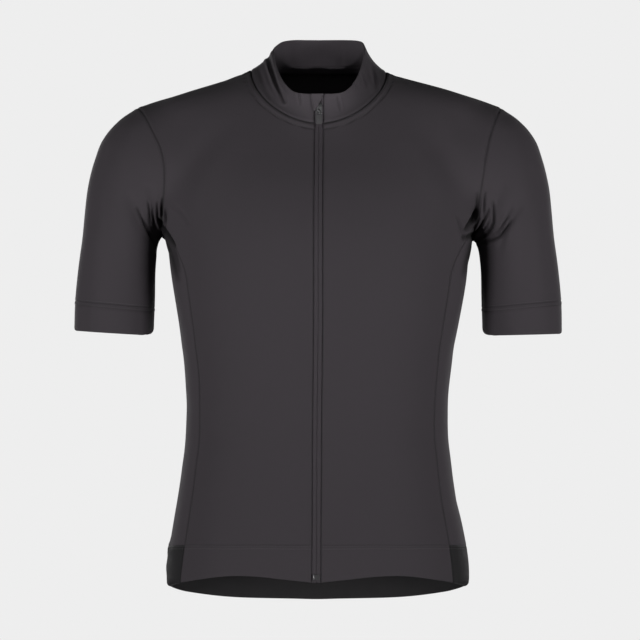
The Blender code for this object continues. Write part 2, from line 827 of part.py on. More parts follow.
def zip_path(hem, front, collar):
    """The zip's way up the edge of the left side, and the direction that it faces."""
    path = np.concatenate([hem[:, 0], front[1:, 0], collar[1:, 0]])
    along = unit(np.gradient(path, axis=0))
    return path, np.stack([np.zeros(len(path)), -along[:, 2], along[:, 1]], axis=-1)


def on_zip(path, facing, heights):
    """The zip's middle at the given heights, and the direction that it faces there."""
    order = np.argsort(path[:, 2])
    y, face_y, face_z = (
        np.interp(heights, path[order, 2], column[order])
        for column in (path[:, 1], facing[:, 1], facing[:, 2])
    )
    none = np.zeros(np.shape(heights))
    return np.stack([none, y, heights], axis=-1), unit(np.stack([none, face_y, face_z], axis=-1))


def add_zip_tape(side, path, facing, finish):
    """Half of the zip, its inner edge parting where the slider's wedge comes between."""
    parted = path[:, 2] > SLIDER_HEIGHT - SLIDER.half_length
    edges = (SEAM_GAP / 2 + TAPE_PARTS * parted, np.full(len(path), ZIP_HALF - SEAM_GAP / 2))
    grid = np.stack([path - facing * ZIP_SUNK] * 2, axis=1)
    grid[..., 0] = np.stack(edges, axis=1)
    inner = grid - facing[:, None] * CLOTH
    if side == "right":
        grid, inner = mirrored(grid[:, ::-1]), mirrored(inner[:, ::-1])
    add_wall(f"zip_tape_{side}", grid, inner, finish)


def add_pockets(back, finish):
    """Three pockets in one panel on the lower back, each gaping a little at its mouth."""
    first = POCKET_INSET
    grid = back[:POCKET_ROWS + 1, first:-first]
    rows, columns = grid.shape[:2]
    across = np.abs(np.sin(np.linspace(0, 3 * np.pi, columns)))[None, :, None]
    up = (np.linspace(0, 1, rows) ** 2)[:, None, None]
    facing = outward(grid)
    inner = grid + facing * (POCKET_CLEARANCE + (POCKET_GAPE - POCKET_CLEARANCE) * across * up)
    add_wall("back_pockets", inner + facing * CLOTH, inner, finish)


def add_neck_tape(collar, facing, finish):
    """The tape that covers the neck seam inside the back of the collar."""
    columns = slice(NECK_FRONT_STEPS, -NECK_FRONT_STEPS)
    lining = (collar - facing * COLLAR)[:, columns]
    rows = [math.floor(row) for row in TAPE_ROWS]
    mix = np.array(TAPE_ROWS) - rows
    grid = np.stack([
        lining[row] * (1 - share) + lining[row + 1] * share for row, share in zip(rows, mix)
    ])
    way = facing[:len(rows), columns]
    outer = grid - way * TAPE_CLEARANCE
    add_wall("neck_tape", outer, outer - way * TAPE_THICK, finish)


# ---------------------------------------------------------------- the zip's hard pieces

def box_mesh(name, low, high, taper=1.0):
    """A box in millimetres; its lower end is narrower across by the taper."""
    (x0, y0, z0), (x1, y1, z1) = low, high
    points = [
        (x * (taper if z == z0 else 1), y, z) for z in (z0, z1) for y in (y0, y1) for x in (x0, x1)
    ]
    faces = [(0, 2, 3, 1), (4, 5, 7, 6), (0, 1, 5, 4), (2, 6, 7, 3), (0, 4, 6, 2), (1, 3, 7, 5)]
    mesh = bpy.data.meshes.new(name)
    mesh.from_pydata([tuple(c * MM for c in point) for point in points], [], faces)
    return mesh


def add_hard(name, boxes, finish, frame, extra=()):
    """One solid from overlapping boxes, in the frame of the zip where it lies."""
    made = None
    for index, box in enumerate([*boxes, *extra]):
        mesh = box if isinstance(box, bpy.types.Mesh) else box_mesh(name, *box)
        piece = bpy.data.objects.new(name if made is None else f"{name}_{index}", mesh)
        bpy.context.scene.collection.objects.link(piece)
        piece.matrix_world = frame
        if made is None:
            made = piece
            made.data.materials.append(finish)
            continue
        piece.hide_render = True
        piece.hide_viewport = True
        union = made.modifiers.new(f"with_{index}", "BOOLEAN")
        union.operation = "UNION"
        union.object = piece
    rounded = made.modifiers.new("rounded", "BEVEL")
    rounded.width = HARD_BEVEL * MM
    rounded.segments = 1
    rounded.limit_method = "ANGLE"
    return made


def rod_mesh(name, radius, half_length, sides=12):
    """A round bar along X in millimetres."""
    bm = bmesh.new()
    bmesh.ops.create_cone(
        bm, cap_ends=True, segments=sides, radius1=radius * MM, radius2=radius * MM,
        depth=2 * half_length * MM, matrix=Matrix.Rotation(math.radians(90), 4, "Y"),
    )
    mesh = bpy.data.meshes.new(name)
    bm.to_mesh(mesh)
    bm.free()
    return mesh


def zip_frame(path, facing, height):
    """Where the zip passes a height: X across, -Y out of the cloth and Z up along the zip."""
    place, face = on_zip(path, facing, height)
    turn = math.atan2(-face[2], -face[1])
    return Matrix.Translation(swayed(place) * MM) @ Matrix.Rotation(turn, 4, "X")


def add_slider(path, facing, finish):
    """The slider: a plate before and behind the tapes, a wedge between, and the pull's bridge."""
    s = SLIDER
    back = ZIP_SUNK + CLOTH + SEAM_GAP
    front = ZIP_SUNK - SEAM_GAP
    low, high = -s.half_length, s.half_length
    top = -s.plate + front
    arch = (PULL_AT - s.arch_half, PULL_AT + s.arch_half)
    post = s.arch_half - PULL_ROD - SEAM_GAP
    reach = PULL_OUT + PULL_ROD + SEAM_GAP
    boxes = [
        ((-s.half_width, top, low), (s.half_width, front, high), s.taper),
        ((-s.half_width, back, low), (s.half_width, back + s.plate, high), s.taper),
        ((-s.wedge, front - WEDGE_BITE, WEDGE_START), (s.wedge, back + WEDGE_BITE, high)),
        ((-s.bridge, -reach - s.plate, arch[0]), (s.bridge, front, arch[0] + post)),
        ((-s.bridge, -reach - s.plate, arch[1] - post), (s.bridge, front, arch[1])),
        ((-s.bridge, -reach - s.plate, arch[0]), (s.bridge, -reach, arch[1])),
    ]
    add_hard("zip_slider", boxes, finish, zip_frame(path, facing, SLIDER_HEIGHT))


def add_pull(path, facing, finish):
    """The pull tab, hanging on a rod under the slider's bridge; its origin is the rod's middle."""
    frame = zip_frame(path, facing, SLIDER_HEIGHT) @ Matrix.Translation(
        Vector((0, -PULL_OUT, PULL_AT)) * MM
    )
    rail, window, half = PULL_RAIL, PULL_WINDOW, PULL_THICK / 2
    outer = window + rail
    boxes = [
        ((-PULL_HALF_WIDTH, -half, -PULL_LENGTH), (PULL_HALF_WIDTH, half, -PULL_NECK)),
        ((-outer, -half, -PULL_NECK - rail), (-window, half, half)),
        ((window, -half, -PULL_NECK - rail), (outer, half, half)),
    ]
    rod = rod_mesh("zip_pull_rod", PULL_ROD, window + rail / 2)
    add_hard("zip_pull", boxes, finish, frame, extra=(rod,))


def add_zip_box(path, facing, finish):
    """The box that holds the zip's lower ends together."""
    b = ZIP_BOX
    front = ZIP_SUNK - SEAM_GAP
    low = ((-b.half_width, front - b.plate, -b.half_length), (b.half_width, front, b.half_length))
    add_hard("zip_box", [low], finish, zip_frame(path, facing, ZIP_BOX_HEIGHT))


def add_garage(path, facing, finish):
    """The cloth corner that is turned down over the top of the zip."""
    top = path[-1, 2] - GARAGE_BELOW_TOP
    middle, face = on_zip(path, facing, np.linspace(top - GARAGE_DROP, top, GARAGE_ROWS))
    left, right = (np.linspace(*ends, GARAGE_ROWS) for ends in (GARAGE_LEFT, GARAGE_RIGHT))
    grid = np.stack([middle] * GARAGE_COLUMNS, axis=1)
    grid[..., 0] = np.linspace(left, right, GARAGE_COLUMNS, axis=-1)
    inner = grid + face[:, None] * GARAGE_OUT
    add_wall("zip_garage", inner + face[:, None] * GARAGE_THICK, inner, finish)


def main():
    for existing in list(bpy.data.objects):
        bpy.data.objects.remove(existing)
    knit = material("knit", (0.035, 0.033, 0.036), 0.85)
    side_knit = material("side_knit", (0.045, 0.043, 0.046), 0.85)
    gripper = material("gripper", (0.022, 0.021, 0.022), 0.9)
    tape = material("zip_tape", (0.03, 0.028, 0.031), 0.8)
    metal = material("painted_metal", (0.05, 0.05, 0.05), 0.35, 0.8)
    seams = left_seams()
    front, back = front_grid(seams), back_grid(seams)
    side, sleeve = side_grid(seams), sleeve_grid(seams)
    hem, collar = hem_grid(0, SIDE_SEAM_FRONT, HEM_COLUMNS), collar_grid(seams)
    neck = neck_directions(seams, collar)
    ways = agreed_directions(front, back, side, sleeve, neck)
    for name, mirror in (("left", False), ("right", True)):
        add_cloth(f"front_{name}", front, CLOTH, knit, ways.front, mirror=mirror)
        add_cloth(f"side_{name}", side, CLOTH, side_knit, ways.side, mirror=mirror)
        add_cloth(f"sleeve_{name}", sleeve, CLOTH, knit, ways.sleeve, mirror=mirror, ring=True)
        add_cloth(f"cuff_{name}", cuff_grid(), BAND, knit, mirror=mirror, ring=True)
        add_cloth(f"hem_{name}", hem, BAND, knit, mirror=mirror)
    add_cloth("back", back, CLOTH, knit, ways.back)
    band = hem_grid(SIDE_SEAM_FRONT, 180, UNDERARM_STEPS + SHOULDER_STEPS + NECK_BACK_STEPS // 2)
    band = np.concatenate([band, mirrored(band[:, -2::-1])], axis=1)
    add_cloth("hem_gripper", band, BAND, gripper)
    facing = collar_facing(collar, neck)
    add_cloth("collar", collar, COLLAR, knit, directions=facing)
    add_neck_tape(collar, facing, tape)
    add_pockets(back, knit)
    path, face = zip_path(hem, front, collar)
    for side in ("left", "right"):
        add_zip_tape(side, path, face, tape)
    add_slider(path, face, metal)
    add_pull(path, face, metal)
    add_zip_box(path, face, metal)
    add_garage(path, face, knit)


if __name__ == "__main__":
    main()
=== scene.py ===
"""A short-sleeved cycling jersey with a full zip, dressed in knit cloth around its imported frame.

+Z is up, the front faces -Y and the wearer's left is +X. Tables and sizes are in millimetres
until a mesh is made. The worn form, its seams and the grids between them are those of the
solids, drawn more finely. Seams, stitches, creases, the zip and the finishes are added here.
"""

import logging
import math
from dataclasses import dataclass, field
from enum import Enum
from functools import cached_property
from typing import Iterable, NamedTuple, Optional, Sequence, Union

import bmesh
import bpy
import numpy as np
from mathutils import Matrix, Vector


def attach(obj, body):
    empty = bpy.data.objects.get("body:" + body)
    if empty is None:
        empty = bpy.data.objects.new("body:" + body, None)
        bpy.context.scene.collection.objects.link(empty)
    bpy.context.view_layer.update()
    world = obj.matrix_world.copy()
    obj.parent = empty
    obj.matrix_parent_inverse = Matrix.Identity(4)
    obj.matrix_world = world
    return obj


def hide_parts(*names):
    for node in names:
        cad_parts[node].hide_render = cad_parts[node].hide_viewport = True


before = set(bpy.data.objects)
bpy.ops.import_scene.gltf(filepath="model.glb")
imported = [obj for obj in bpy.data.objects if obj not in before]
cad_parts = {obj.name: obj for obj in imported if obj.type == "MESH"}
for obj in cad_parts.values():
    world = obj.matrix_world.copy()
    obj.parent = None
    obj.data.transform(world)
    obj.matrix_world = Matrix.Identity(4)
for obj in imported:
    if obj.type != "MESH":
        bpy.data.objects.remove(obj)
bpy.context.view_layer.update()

Array = np.ndarray
Socket = bpy.types.NodeSocket
Object = bpy.types.Object
Mesh = bpy.types.Mesh
Outline = Sequence[tuple[float, float]]
MM = 0.001
LEAST_FLAT = 0.0101
LOG = logging.getLogger("jersey")


# ---------------------------------------------------------------- curves and tables

def through(at: Sequence[float], values: Array, places: Union[Array, float]) -> Array:
    """Read a smooth curve that passes a table's values.

    Args:
        at: Rising positions of the values.
        values: One value or row of values for each position.
        places: Positions to read, held to the table's range.

    Returns:
        The values at those positions.
    """
    at, values = np.asarray(at, float), np.asarray(values, float)
    steps = np.diff(at)
    wide = (-1,) + (1,) * (values.ndim - 1)
    slopes = np.diff(values, axis=0) / steps.reshape(wide)
    shares = (steps[1:] / (steps[1:] + steps[:-1])).reshape(wide)
    inner = slopes[:-1] * shares + slopes[1:] * (1 - shares)
    tangents = np.concatenate([slopes[:1], inner, slopes[-1:]])
    places = np.clip(np.asarray(places, float), at[0], at[-1])
    i = np.clip(np.searchsorted(at, places) - 1, 0, len(steps) - 1)
    more = places.shape + (1,) * (values.ndim - 1)
    step = steps[i].reshape(more)
    t = ((places - at[i]) / steps[i]).reshape(more)
    return (
        values[i] * (2 * t**3 - 3 * t**2 + 1)
        + values[i + 1] * (3 * t**2 - 2 * t**3)
        + tangents[i] * step * (t**3 - 2 * t**2 + t)
        + tangents[i + 1] * step * (t**3 - t**2)
    )


class Table:
    """Rows of numbers with named columns, read as smooth curves along the first column."""

    def __init__(self, columns: str, *rows: Sequence[float]) -> None:
        """Sort the rows by their first number."""
        data = np.array(sorted(rows), float)
        self.columns, self.first, self.rest = columns.split(), data[:, 0], data[:, 1:]

    def read(self, places: Union[Array, float]) -> Array:
        """Give every column after the first at the given places, one after another."""
        return np.moveaxis(through(self.first, self.rest, places), -1, 0)


def unit(vectors: Array) -> Array:
    """Give the vectors a length of one."""
    return vectors / np.maximum(np.linalg.norm(vectors, axis=-1, keepdims=True), 1e-9)


def travelled(points: Array, axis: int = 0) -> Array:
    """Measure the way along each line of points, from 0 at its start."""
    lengths = np.linalg.norm(np.diff(points, axis=axis), axis=-1)
    return np.insert(np.cumsum(lengths, axis=axis), 0, 0, axis=axis)


def resample(points: Sequence[Sequence[float]], steps: int) -> Array:
    """Divide a path into equal steps."""
    points = np.asarray(points, float)
    along = travelled(points)
    return through(along, points, np.linspace(0, along[-1], steps + 1))


def mirrored(points: Array) -> Array:
    """Turn points or directions to the other side of the body."""
    return points * np.array([-1, 1, 1])


def whole(left: Array) -> Array:
    """Join a left half to its mirror image."""
    return np.concatenate([left, mirrored(left[-2::-1])])


def mixed(low: Array, high: Array, steps: int) -> Array:
    """Go from one line of points to another in equal steps, a row for each."""
    shares = np.linspace(0, 1, steps + 1)[:, None, None]
    return low[None] * (1 - shares) + high[None] * shares


def smooth_step(low: float, high: float, values: Array) -> Array:
    """Rise from 0 at low to 1 at high."""
    t = np.clip((values - low) / (high - low), 0, 1)
    return t * t * (3 - 2 * t)


def bell(values: Array) -> Array:
    """Give a soft hump, 1 high at 0."""
    return np.exp(-values**2)


def quarter_round(values: Array) -> Array:
    """Rise from 0 at 0 to 1 at 1, as a quarter of a circle does."""
    return 1 - np.sqrt(1 - values**2)


def square_step(edge: Array, inside: Array, ring: bool = False) -> Array:
    """Find the way into the cloth from each point of an edge, square to the edge."""
    if ring:
        along = unit(np.roll(edge, -1, axis=0) - np.roll(edge, 1, axis=0))
    else:
        along = unit(np.gradient(edge, axis=0))
    step = inside - edge
    return unit(step - (step * along).sum(-1, keepdims=True) * along)


def away_from(points: Array, line: Array) -> Array:
    """Measure how far each point lies from a line.

    Args:
        points: Any array of points.
        line: The line's points in order.

    Returns:
        The shortest distance for each point.
    """
    start, step = line[:-1], np.diff(line, axis=0)
    offset = points[..., None, :] - start
    share = np.clip((offset * step).sum(-1) / np.maximum((step**2).sum(-1), 1e-9), 0, 1)
    return np.linalg.norm(offset - share[..., None] * step, axis=-1).min(axis=-1)


# ---------------------------------------------------------------- the worn form

@dataclass(frozen=True)
class WornForm:
    """The smooth skin that the cloth lies on: a body tube and two arm tubes, blended."""

    squareness: float = 2.45
    arm_squareness: float = 2.2
    body: Table = Table(
        "height half_width front back middle",
        (24, 34, 20, 50, 32), (15, 60, 3, 66, 16), (8, 79, -8, 74, 9), (-2, 107.5, -23, 81, 8),
        (-16, 152.5, -39, 89, 8), (-30, 191, -49, 95, 7), (-44, 205, -57, 99, 6),
        (-60, 204, -66, 103, 5), (-90, 196, -82, 109, 3), (-130, 186, -102, 114, 1),
        (-180, 175, -116, 115, 0), (-230, 168, -118, 109, -1), (-300, 157, -111, 99, -2),
        (-385, 149.5, -102, 90, -3), (-450, 155, -103, 95, -2), (-520, 166, -108, 105, 0),
        (-565, 173, -111, 110, 0), (-620, 175, -112, 113, 0),
    )
    arm: Table = Table(
        "height inner outer front back",
        (-29, 186, 196, -1, 13), (-34, 170, 209, -13, 27), (-42, 154, 222, -26, 40),
        (-54, 143, 236, -38, 50), (-70, 139, 248, -46, 57), (-95, 144, 257.5, -53, 61),
        (-125, 157, 264.5, -56, 62), (-155, 172, 268, -57, 61), (-182, 183, 270.5, -57, 59),
        (-215, 187, 275, -55, 56), (-255, 188, 279, -53, 54), (-310, 190, 280, -52, 53),
    )
    blend: Table = Table(
        "height width", (-25, 8), (-55, 16), (-95, 36), (-145, 34), (-178, 17), (-205, 12),
    )
    sway: Table = Table(
        "height shift", (-600, -3.2), (-520, -2.7), (-400, -2.2), (-300, -1.1), (-120, -0.6),
        (-60, 0),
    )

    @staticmethod
    def tube(
        x: Array, y: Array, half_width: Array, front: Array, back: Array, middle: Array, power: float,
    ) -> Array:
        """Measure how far points lie outside a level section, nearly in millimetres."""
        depth = np.where(y < middle, middle - front, back - middle)
        size = (np.abs(x) / half_width) ** power + (np.abs(y - middle) / depth) ** power
        return (size ** (1 / power) - 1) * np.sqrt(half_width * depth)

    def field(self, points: Array) -> Array:
        """Measure how far points lie outside the skin, with both arms alike."""
        x, y, z = np.abs(points[..., 0]), points[..., 1], points[..., 2]
        half_width, front, back, middle = self.body.read(z)
        body = self.tube(x, y, half_width, front, back, middle, self.squareness)
        inner, outer, front, back = self.arm.read(z)
        above = np.maximum(z - self.arm.first[-1], 0)
        arm = above + self.tube(
            x - (inner + outer) / 2, y, (outer - inner) / 2, front, back, (front + back) / 2,
            self.arm_squareness,
        )
        (width,) = self.blend.read(z)
        overlap = np.maximum(width - np.abs(body - arm), 0) / width
        return np.minimum(body, arm) - overlap**2 * width / 4

    def slope(self, points: Array) -> Array:
        """Give the field's gradient."""
        step = 0.05
        return np.stack(
            [
                (self.field(points + axis) - self.field(points - axis)) / (2 * step)
                for axis in np.eye(3) * step
            ],
            axis=-1,
        )

    def laid(self, points: Array, rounds: int = 14) -> Array:
        """Move points onto the skin.

        Args:
            points: Points near the skin.
            rounds: How many times they are moved.

        Returns:
            The points on the skin.
        """
        points = np.array(points, float)
        for _ in range(rounds):
            slope = self.slope(points)
            squared = np.maximum((slope**2).sum(-1), 0.2)
            points -= np.clip(self.field(points) / squared, -8, 8)[..., None] * slope
        return points

    def outward(self, points: Array) -> Array:
        """Give the skin's outward direction."""
        return unit(self.slope(points))

    def body_point(self, angle: Union[Array, float], height: Array) -> Array:
        """Find the body's skin at an angle in degrees from the middle of the front."""
        power = 2 / self.squareness
        turn = np.radians(angle)
        half_width, front, back, middle = self.body.read(height)
        depth = np.where(np.cos(turn) > 0, middle - front, back - middle)
        x = half_width * np.abs(np.sin(turn)) ** power
        y = middle - np.sign(np.cos(turn)) * depth * np.abs(np.cos(turn)) ** power
        return np.stack([x, y, np.broadcast_to(height, x.shape)], axis=-1)

    def arm_point(self, angle: Array, height: Array) -> Array:
        """Find the left sleeve's skin at an angle in degrees from its inner side."""
        power = 2 / self.arm_squareness
        turn = np.radians(angle)
        inner, outer, front, back = self.arm.read(height)
        across = np.sign(np.cos(turn)) * np.abs(np.cos(turn)) ** power
        ahead = np.sign(np.sin(turn)) * np.abs(np.sin(turn)) ** power
        x = (inner + outer) / 2 - (outer - inner) / 2 * across
        y = (front + back) / 2 - (back - front) / 2 * ahead
        return np.stack([x, y, height], axis=-1)

    def swayed(self, points: Array) -> Array:
        """Shift points as the hanging cloth has shifted, a little to one side lower down."""
        moved = np.array(points, float)
        moved[..., 0] += self.sway.read(moved[..., 2])[0]
        return moved


# ---------------------------------------------------------------- the paper pattern

@dataclass
class Pattern:
    """The seams on the wearer's left and the coarse grids of cloth between them."""

    form: WornForm
    side_front_angle: float = 59.0
    side_back_angle: float = 119.0
    armpit_front: tuple[float, ...] = (177.5, -33.0, -175.0)
    armpit_back: tuple[float, ...] = (177.5, 34.0, -175.0)
    side_turn: float = 0.84
    side_crowding: float = 1.35
    shoulder_point: tuple[float, ...] = (209.0, 5.0, -34.0)
    skin_share: float = 0.3
    neck_half_width: float = 78.0
    neck_side: tuple[float, float] = (8.0, 8.0)
    neck_front_height: float = -58.0
    neck_back: tuple[float, float] = (70.0, 12.0)
    neck_power: float = 1.8
    neck_back_power: float = 0.95
    zip_half: float = 5.0
    cuff_top: tuple[float, float] = (-260.0, 0.09)
    cuff_end: tuple[float, float] = (-294.8, 0.024)
    cuff_corners: tuple[float, float] = (9.0, 3.5)
    cuff_seam_angle: float = 27.0
    cuff_axis: float = 235.0
    side_steps: int = 13
    armhole_steps: int = 13
    underarm_steps: int = 8
    neck_steps: int = 9
    neck_back_steps: int = 12
    shoulder_steps: int = 6
    collar_steps: int = 6
    sleeve_steps: int = 11
    band_steps: int = 2
    relaxing: int = 30
    collar_hollow: float = 3.0
    collar_flat_half: float = 30.0
    rim_dip: tuple[float, float, float] = (-53.0, 9.0, 5.0)
    rim_behind: tuple[float, float] = (8.0, 26.0)
    hem: Table = Table(
        "angle top bottom",
        (0, -527, -568), (8, -527, -565), (18, -527, -562), (29, -528, -562), (44, -529, -567),
        (59, -531, -573), (90, -538, -584), (120, -550, -597), (150, -562, -608),
        (180, -567, -612),
    )
    rim: Table = Table(
        "angle x y height",
        (0, 0, -58, -23), (18, 16, -57.5, -23), (34, 29, -53, -20), (50, 39, -42, -10),
        (70, 48, -19, 10.4), (90, 52.5, 6, 31), (110, 52, 26, 43), (132, 45, 44, 48.4),
        (154, 29, 56, 50.4), (180, 0, 60, 50.9),
    )
    armhole_points: tuple[tuple[float, ...], ...] = (
        (179.5, -44, -160), (182, -52, -140), (185, -55, -118), (188, -51, -95), (193, -44, -72),
        (201, -29, -50),
    )
    armhole_back_points: tuple[tuple[float, ...], ...] = (
        (179.5, 45, -160), (182, 54, -140), (185, 59, -118), (188, 57, -95), (193, 50, -72),
        (201, 36, -50),
    )
    underarm_points: tuple[tuple[float, ...], ...] = ((179, -16, -181), (180, 0, -183), (179, 16, -181))

    def side_heights(self, start: float) -> Array:
        """Give heights from the hem band up to the armpit, crowding towards the armpit."""
        shares = 1 - (1 - np.linspace(0, 1, self.side_steps + 1)) ** self.side_crowding
        return start + (self.armpit_front[2] - start) * shares

    def side_seam(self, angle: float, armpit: Sequence[float]) -> Array:
        """Follow a side seam up the body and over to the armpit."""
        heights = self.side_heights(float(self.hem.read(angle)[0]))
        points = self.form.body_point(angle, heights)
        shares = (heights - heights[0]) / (heights[-1] - heights[0])
        turned = np.clip((shares - self.side_turn) / (1 - self.side_turn), 0, 1) ** 2
        return self.form.laid(points + turned[:, None] * (np.array(armpit) - points[-1]))

    def seam_through(
        self, start: Array, points: Iterable[Sequence[float]], end: Array, steps: int
    ) -> Array:
        """Lay a seam on the skin between two points, by way of the points given."""
        way = np.array([start, *points, end], float)
        return resample(self.form.laid(resample(way, 4 * steps)), steps)

    def hem_edge(self, edge: int, first: float, last: float, steps: int) -> Array:
        """Lay the top edge (0) or lower edge (1) of the hem band between two angles."""
        angles = np.linspace(first, last, steps + 1)
        return self.form.laid(self.form.body_point(angles, self.hem.read(angles)[edge]))

    def beside_zip(self, heights: Array) -> Array:
        """Find the front's skin at the zip's edge."""
        half_width, front, _, middle = self.form.body.read(heights)
        power = self.form.squareness
        depth = (middle - front) * (1 - (self.zip_half / half_width) ** power) ** (1 / power)
        return np.stack([np.full(heights.shape, self.zip_half), middle - depth, heights], axis=-1)

    @cached_property
    def neckline(self) -> tuple[Array, Array]:
        """The neckline from the zip to the side, and on to the middle of the back."""
        turn = np.radians(np.linspace(0, 90, 4 * self.neck_steps + 1))
        power = 2 / self.neck_power
        side_y, side_z = self.neck_side
        z = side_z - (side_z - self.neck_front_height) * np.cos(turn) ** power
        y = np.minimum(self.form.body.read(z)[1] + 2, side_y)
        front = self.form.laid(np.stack([self.neck_half_width * np.sin(turn) ** power, y, z], axis=-1))
        front[:, 0] = np.maximum(front[:, 0], self.zip_half)
        front = front[np.searchsorted(front[:, 0], self.zip_half, side="right") - 1:]
        turn = np.radians(np.linspace(90, 180, 4 * self.neck_back_steps + 1))
        back_y, back_z = self.neck_back
        back = self.form.laid(np.stack([
            self.neck_half_width * np.sin(turn) ** self.neck_back_power,
            side_y - (back_y - side_y) * np.cos(turn), side_z - (back_z - side_z) * np.cos(turn),
        ], axis=-1))
        back[0], back[-1, 0] = front[-1], 0
        return resample(front, self.neck_steps), resample(back, self.neck_back_steps // 2)

    @cached_property
    def shoulder_tip(self) -> Array:
        """Where the shoulder seam meets the armhole."""
        return self.form.laid(np.array([self.shoulder_point]))[0]

    @cached_property
    def side_front(self) -> Array:
        """The front side seam."""
        return self.side_seam(self.side_front_angle, self.armpit_front)

    @cached_property
    def side_back(self) -> Array:
        """The back side seam."""
        return self.side_seam(self.side_back_angle, self.armpit_back)

    @cached_property
    def armhole_front(self) -> Array:
        """The armhole from the front side seam up to the shoulder."""
        return self.seam_through(
            self.side_front[-1], self.armhole_points, self.shoulder_tip, self.armhole_steps
        )

    @cached_property
    def armhole_back(self) -> Array:
        """The armhole from the back side seam up to the shoulder."""
        return self.seam_through(
            self.side_back[-1], self.armhole_back_points, self.shoulder_tip, self.armhole_steps
        )

    @cached_property
    def underarm(self) -> Array:
        """The armhole below, from the front side seam to the back one."""
        return self.seam_through(
            self.side_front[-1], self.underarm_points, self.side_back[-1], self.underarm_steps
        )

    @cached_property
    def shoulder(self) -> Array:
        """The shoulder seam, from the neck outwards."""
        return self.seam_through(self.neckline[0][-1], (), self.shoulder_tip, self.shoulder_steps)

    def stretched(self, left: Array, right: Array, bottom: Array, top: Array) -> Array:
        """Stretch a grid between four seams and lay it on the skin.

        Args:
            left: The edge that the first column follows, from the bottom up.
            right: The edge that the last column follows.
            bottom: The edge that the first row follows, from the left.
            top: The edge that the last row follows.

        Returns:
            Rows of points from the bottom to the top.
        """
        u = np.linspace(0, 1, len(bottom))[None, :, None]
        v = np.linspace(0, 1, len(left))[:, None, None]
        corners = (
            (1 - u) * (1 - v) * bottom[0] + u * (1 - v) * bottom[-1]
            + (1 - u) * v * top[0] + u * v * top[-1]
        )
        grid = (
            (1 - u) * left[:, None] + u * right[:, None]
            + (1 - v) * bottom[None] + v * top[None] - corners
        )
        edges = grid.copy()
        grid = self.form.laid(grid)
        for _ in range(self.relaxing):
            mean = (grid[:-2, 1:-1] + grid[2:, 1:-1] + grid[1:-1, :-2] + grid[1:-1, 2:]) / 4
            grid[1:-1, 1:-1] += 0.5 * (mean - grid[1:-1, 1:-1])
            grid[1:-1, 1:-1] = self.form.laid(grid[1:-1, 1:-1], 4)
        grid[0], grid[-1] = edges[0], edges[-1]
        grid[:, 0], grid[:, -1] = edges[:, 0], edges[:, -1]
        return grid

    def between(self, low: Array, high: Array) -> Array:
        """Lay a band's grid on the skin between two edges."""
        grid = mixed(low, high, self.band_steps)
        grid[1:-1] = self.form.laid(grid[1:-1])
        return grid

    @cached_property
    def front(self) -> Array:
        """The left front's grid, from the zip to the side seam."""
        heights = np.concatenate([
            self.side_heights(self.hem_edge(0, 0, self.side_front_angle, 1)[0][2]),
            np.linspace(self.armpit_front[2], self.neckline[0][0][2], self.armhole_steps + 1)[1:],
        ])
        zip_edge = self.beside_zip(heights)
        right = np.concatenate([self.side_front, self.armhole_front[1:]])
        top = np.concatenate([self.neckline[0], self.shoulder[1:]])
        bottom = self.hem_edge(0, 0, self.side_front_angle, len(top) - 1)
        bottom[0] = zip_edge[0]
        return self.stretched(zip_edge, right, bottom, top)

    @cached_property
    def back(self) -> Array:
        """The whole back's grid, from the wearer's left to right."""
        left = np.concatenate([self.side_back, self.armhole_back[1:]])
        top = whole(np.concatenate([self.shoulder[::-1], self.neckline[1][1:]]))
        bottom = self.hem_edge(0, self.side_back_angle, 180, (len(top) - 1) // 2)
        return self.stretched(left, mirrored(left), whole(bottom), top)

    @cached_property
    def side(self) -> Array:
        """The left side panel's grid, from its front seam to its back seam."""
        bottom = self.hem_edge(0, self.side_front_angle, self.side_back_angle, self.underarm_steps)
        return self.stretched(self.side_front, self.side_back, bottom, self.underarm)

    def arm_ring(self, height: float, slant: float) -> Array:
        """Lay a ring round the left sleeve with as many points as the armhole."""
        seam = self.cuff_seam_angle
        angles = np.concatenate([
            np.linspace(seam, 180, self.armhole_steps + 1)[:-1],
            np.linspace(180, 360 - seam, self.armhole_steps + 1)[:-1],
            np.linspace(360 - seam, 360 + seam, self.underarm_steps + 1)[:-1],
        ])
        points = self.form.arm_point(angles, np.full(angles.shape, float(height)))
        return self.form.arm_point(angles, points[:, 2] + slant * (points[:, 0] - self.cuff_axis))

    @cached_property
    def sleeve(self) -> Array:
        """The left sleeve's grid, a ring in each row, from the cuff up to the armhole."""
        ring = np.concatenate([self.armhole_front, self.armhole_back[-2:0:-1], self.underarm[:0:-1]])
        grid = mixed(self.arm_ring(*self.cuff_top), ring, self.sleeve_steps)
        grid[1:-1] = self.form.laid(grid[1:-1])
        for _ in range(self.relaxing):
            mean = (
                grid[:-2] + grid[2:]
                + np.roll(grid, 1, axis=1)[1:-1] + np.roll(grid, -1, axis=1)[1:-1]
            ) / 4
            grid[1:-1] = self.form.laid(grid[1:-1] + 0.5 * (mean - grid[1:-1]), 4)
        return grid

    @cached_property
    def cuff(self) -> Array:
        """The left cuff band's grid, with its lower corners rounded."""
        end = self.arm_ring(*self.cuff_end)
        x = end[:, 0]
        for radius, beyond in zip(self.cuff_corners, (x - x.min(), x.max() - x)):
            share = np.clip(1 - beyond / radius, 0, 1)
            end[:, 2] += radius * quarter_round(share)
        return self.between(end, self.arm_ring(*self.cuff_top))

    def hem_grid(self, first: float, last: float, steps: int) -> Array:
        """Lay a stretch of the hem band, from its free edge up to the panels."""
        grid = self.between(self.hem_edge(1, first, last, steps), self.hem_edge(0, first, last, steps))
        if first == 0:
            grid[:, 0] = self.beside_zip(grid[:, 0, 2])
        return grid

    @cached_property
    def hem_front(self) -> Array:
        """The left front hem band's grid."""
        return self.hem_grid(0, self.side_front_angle, self.neck_steps + self.shoulder_steps)

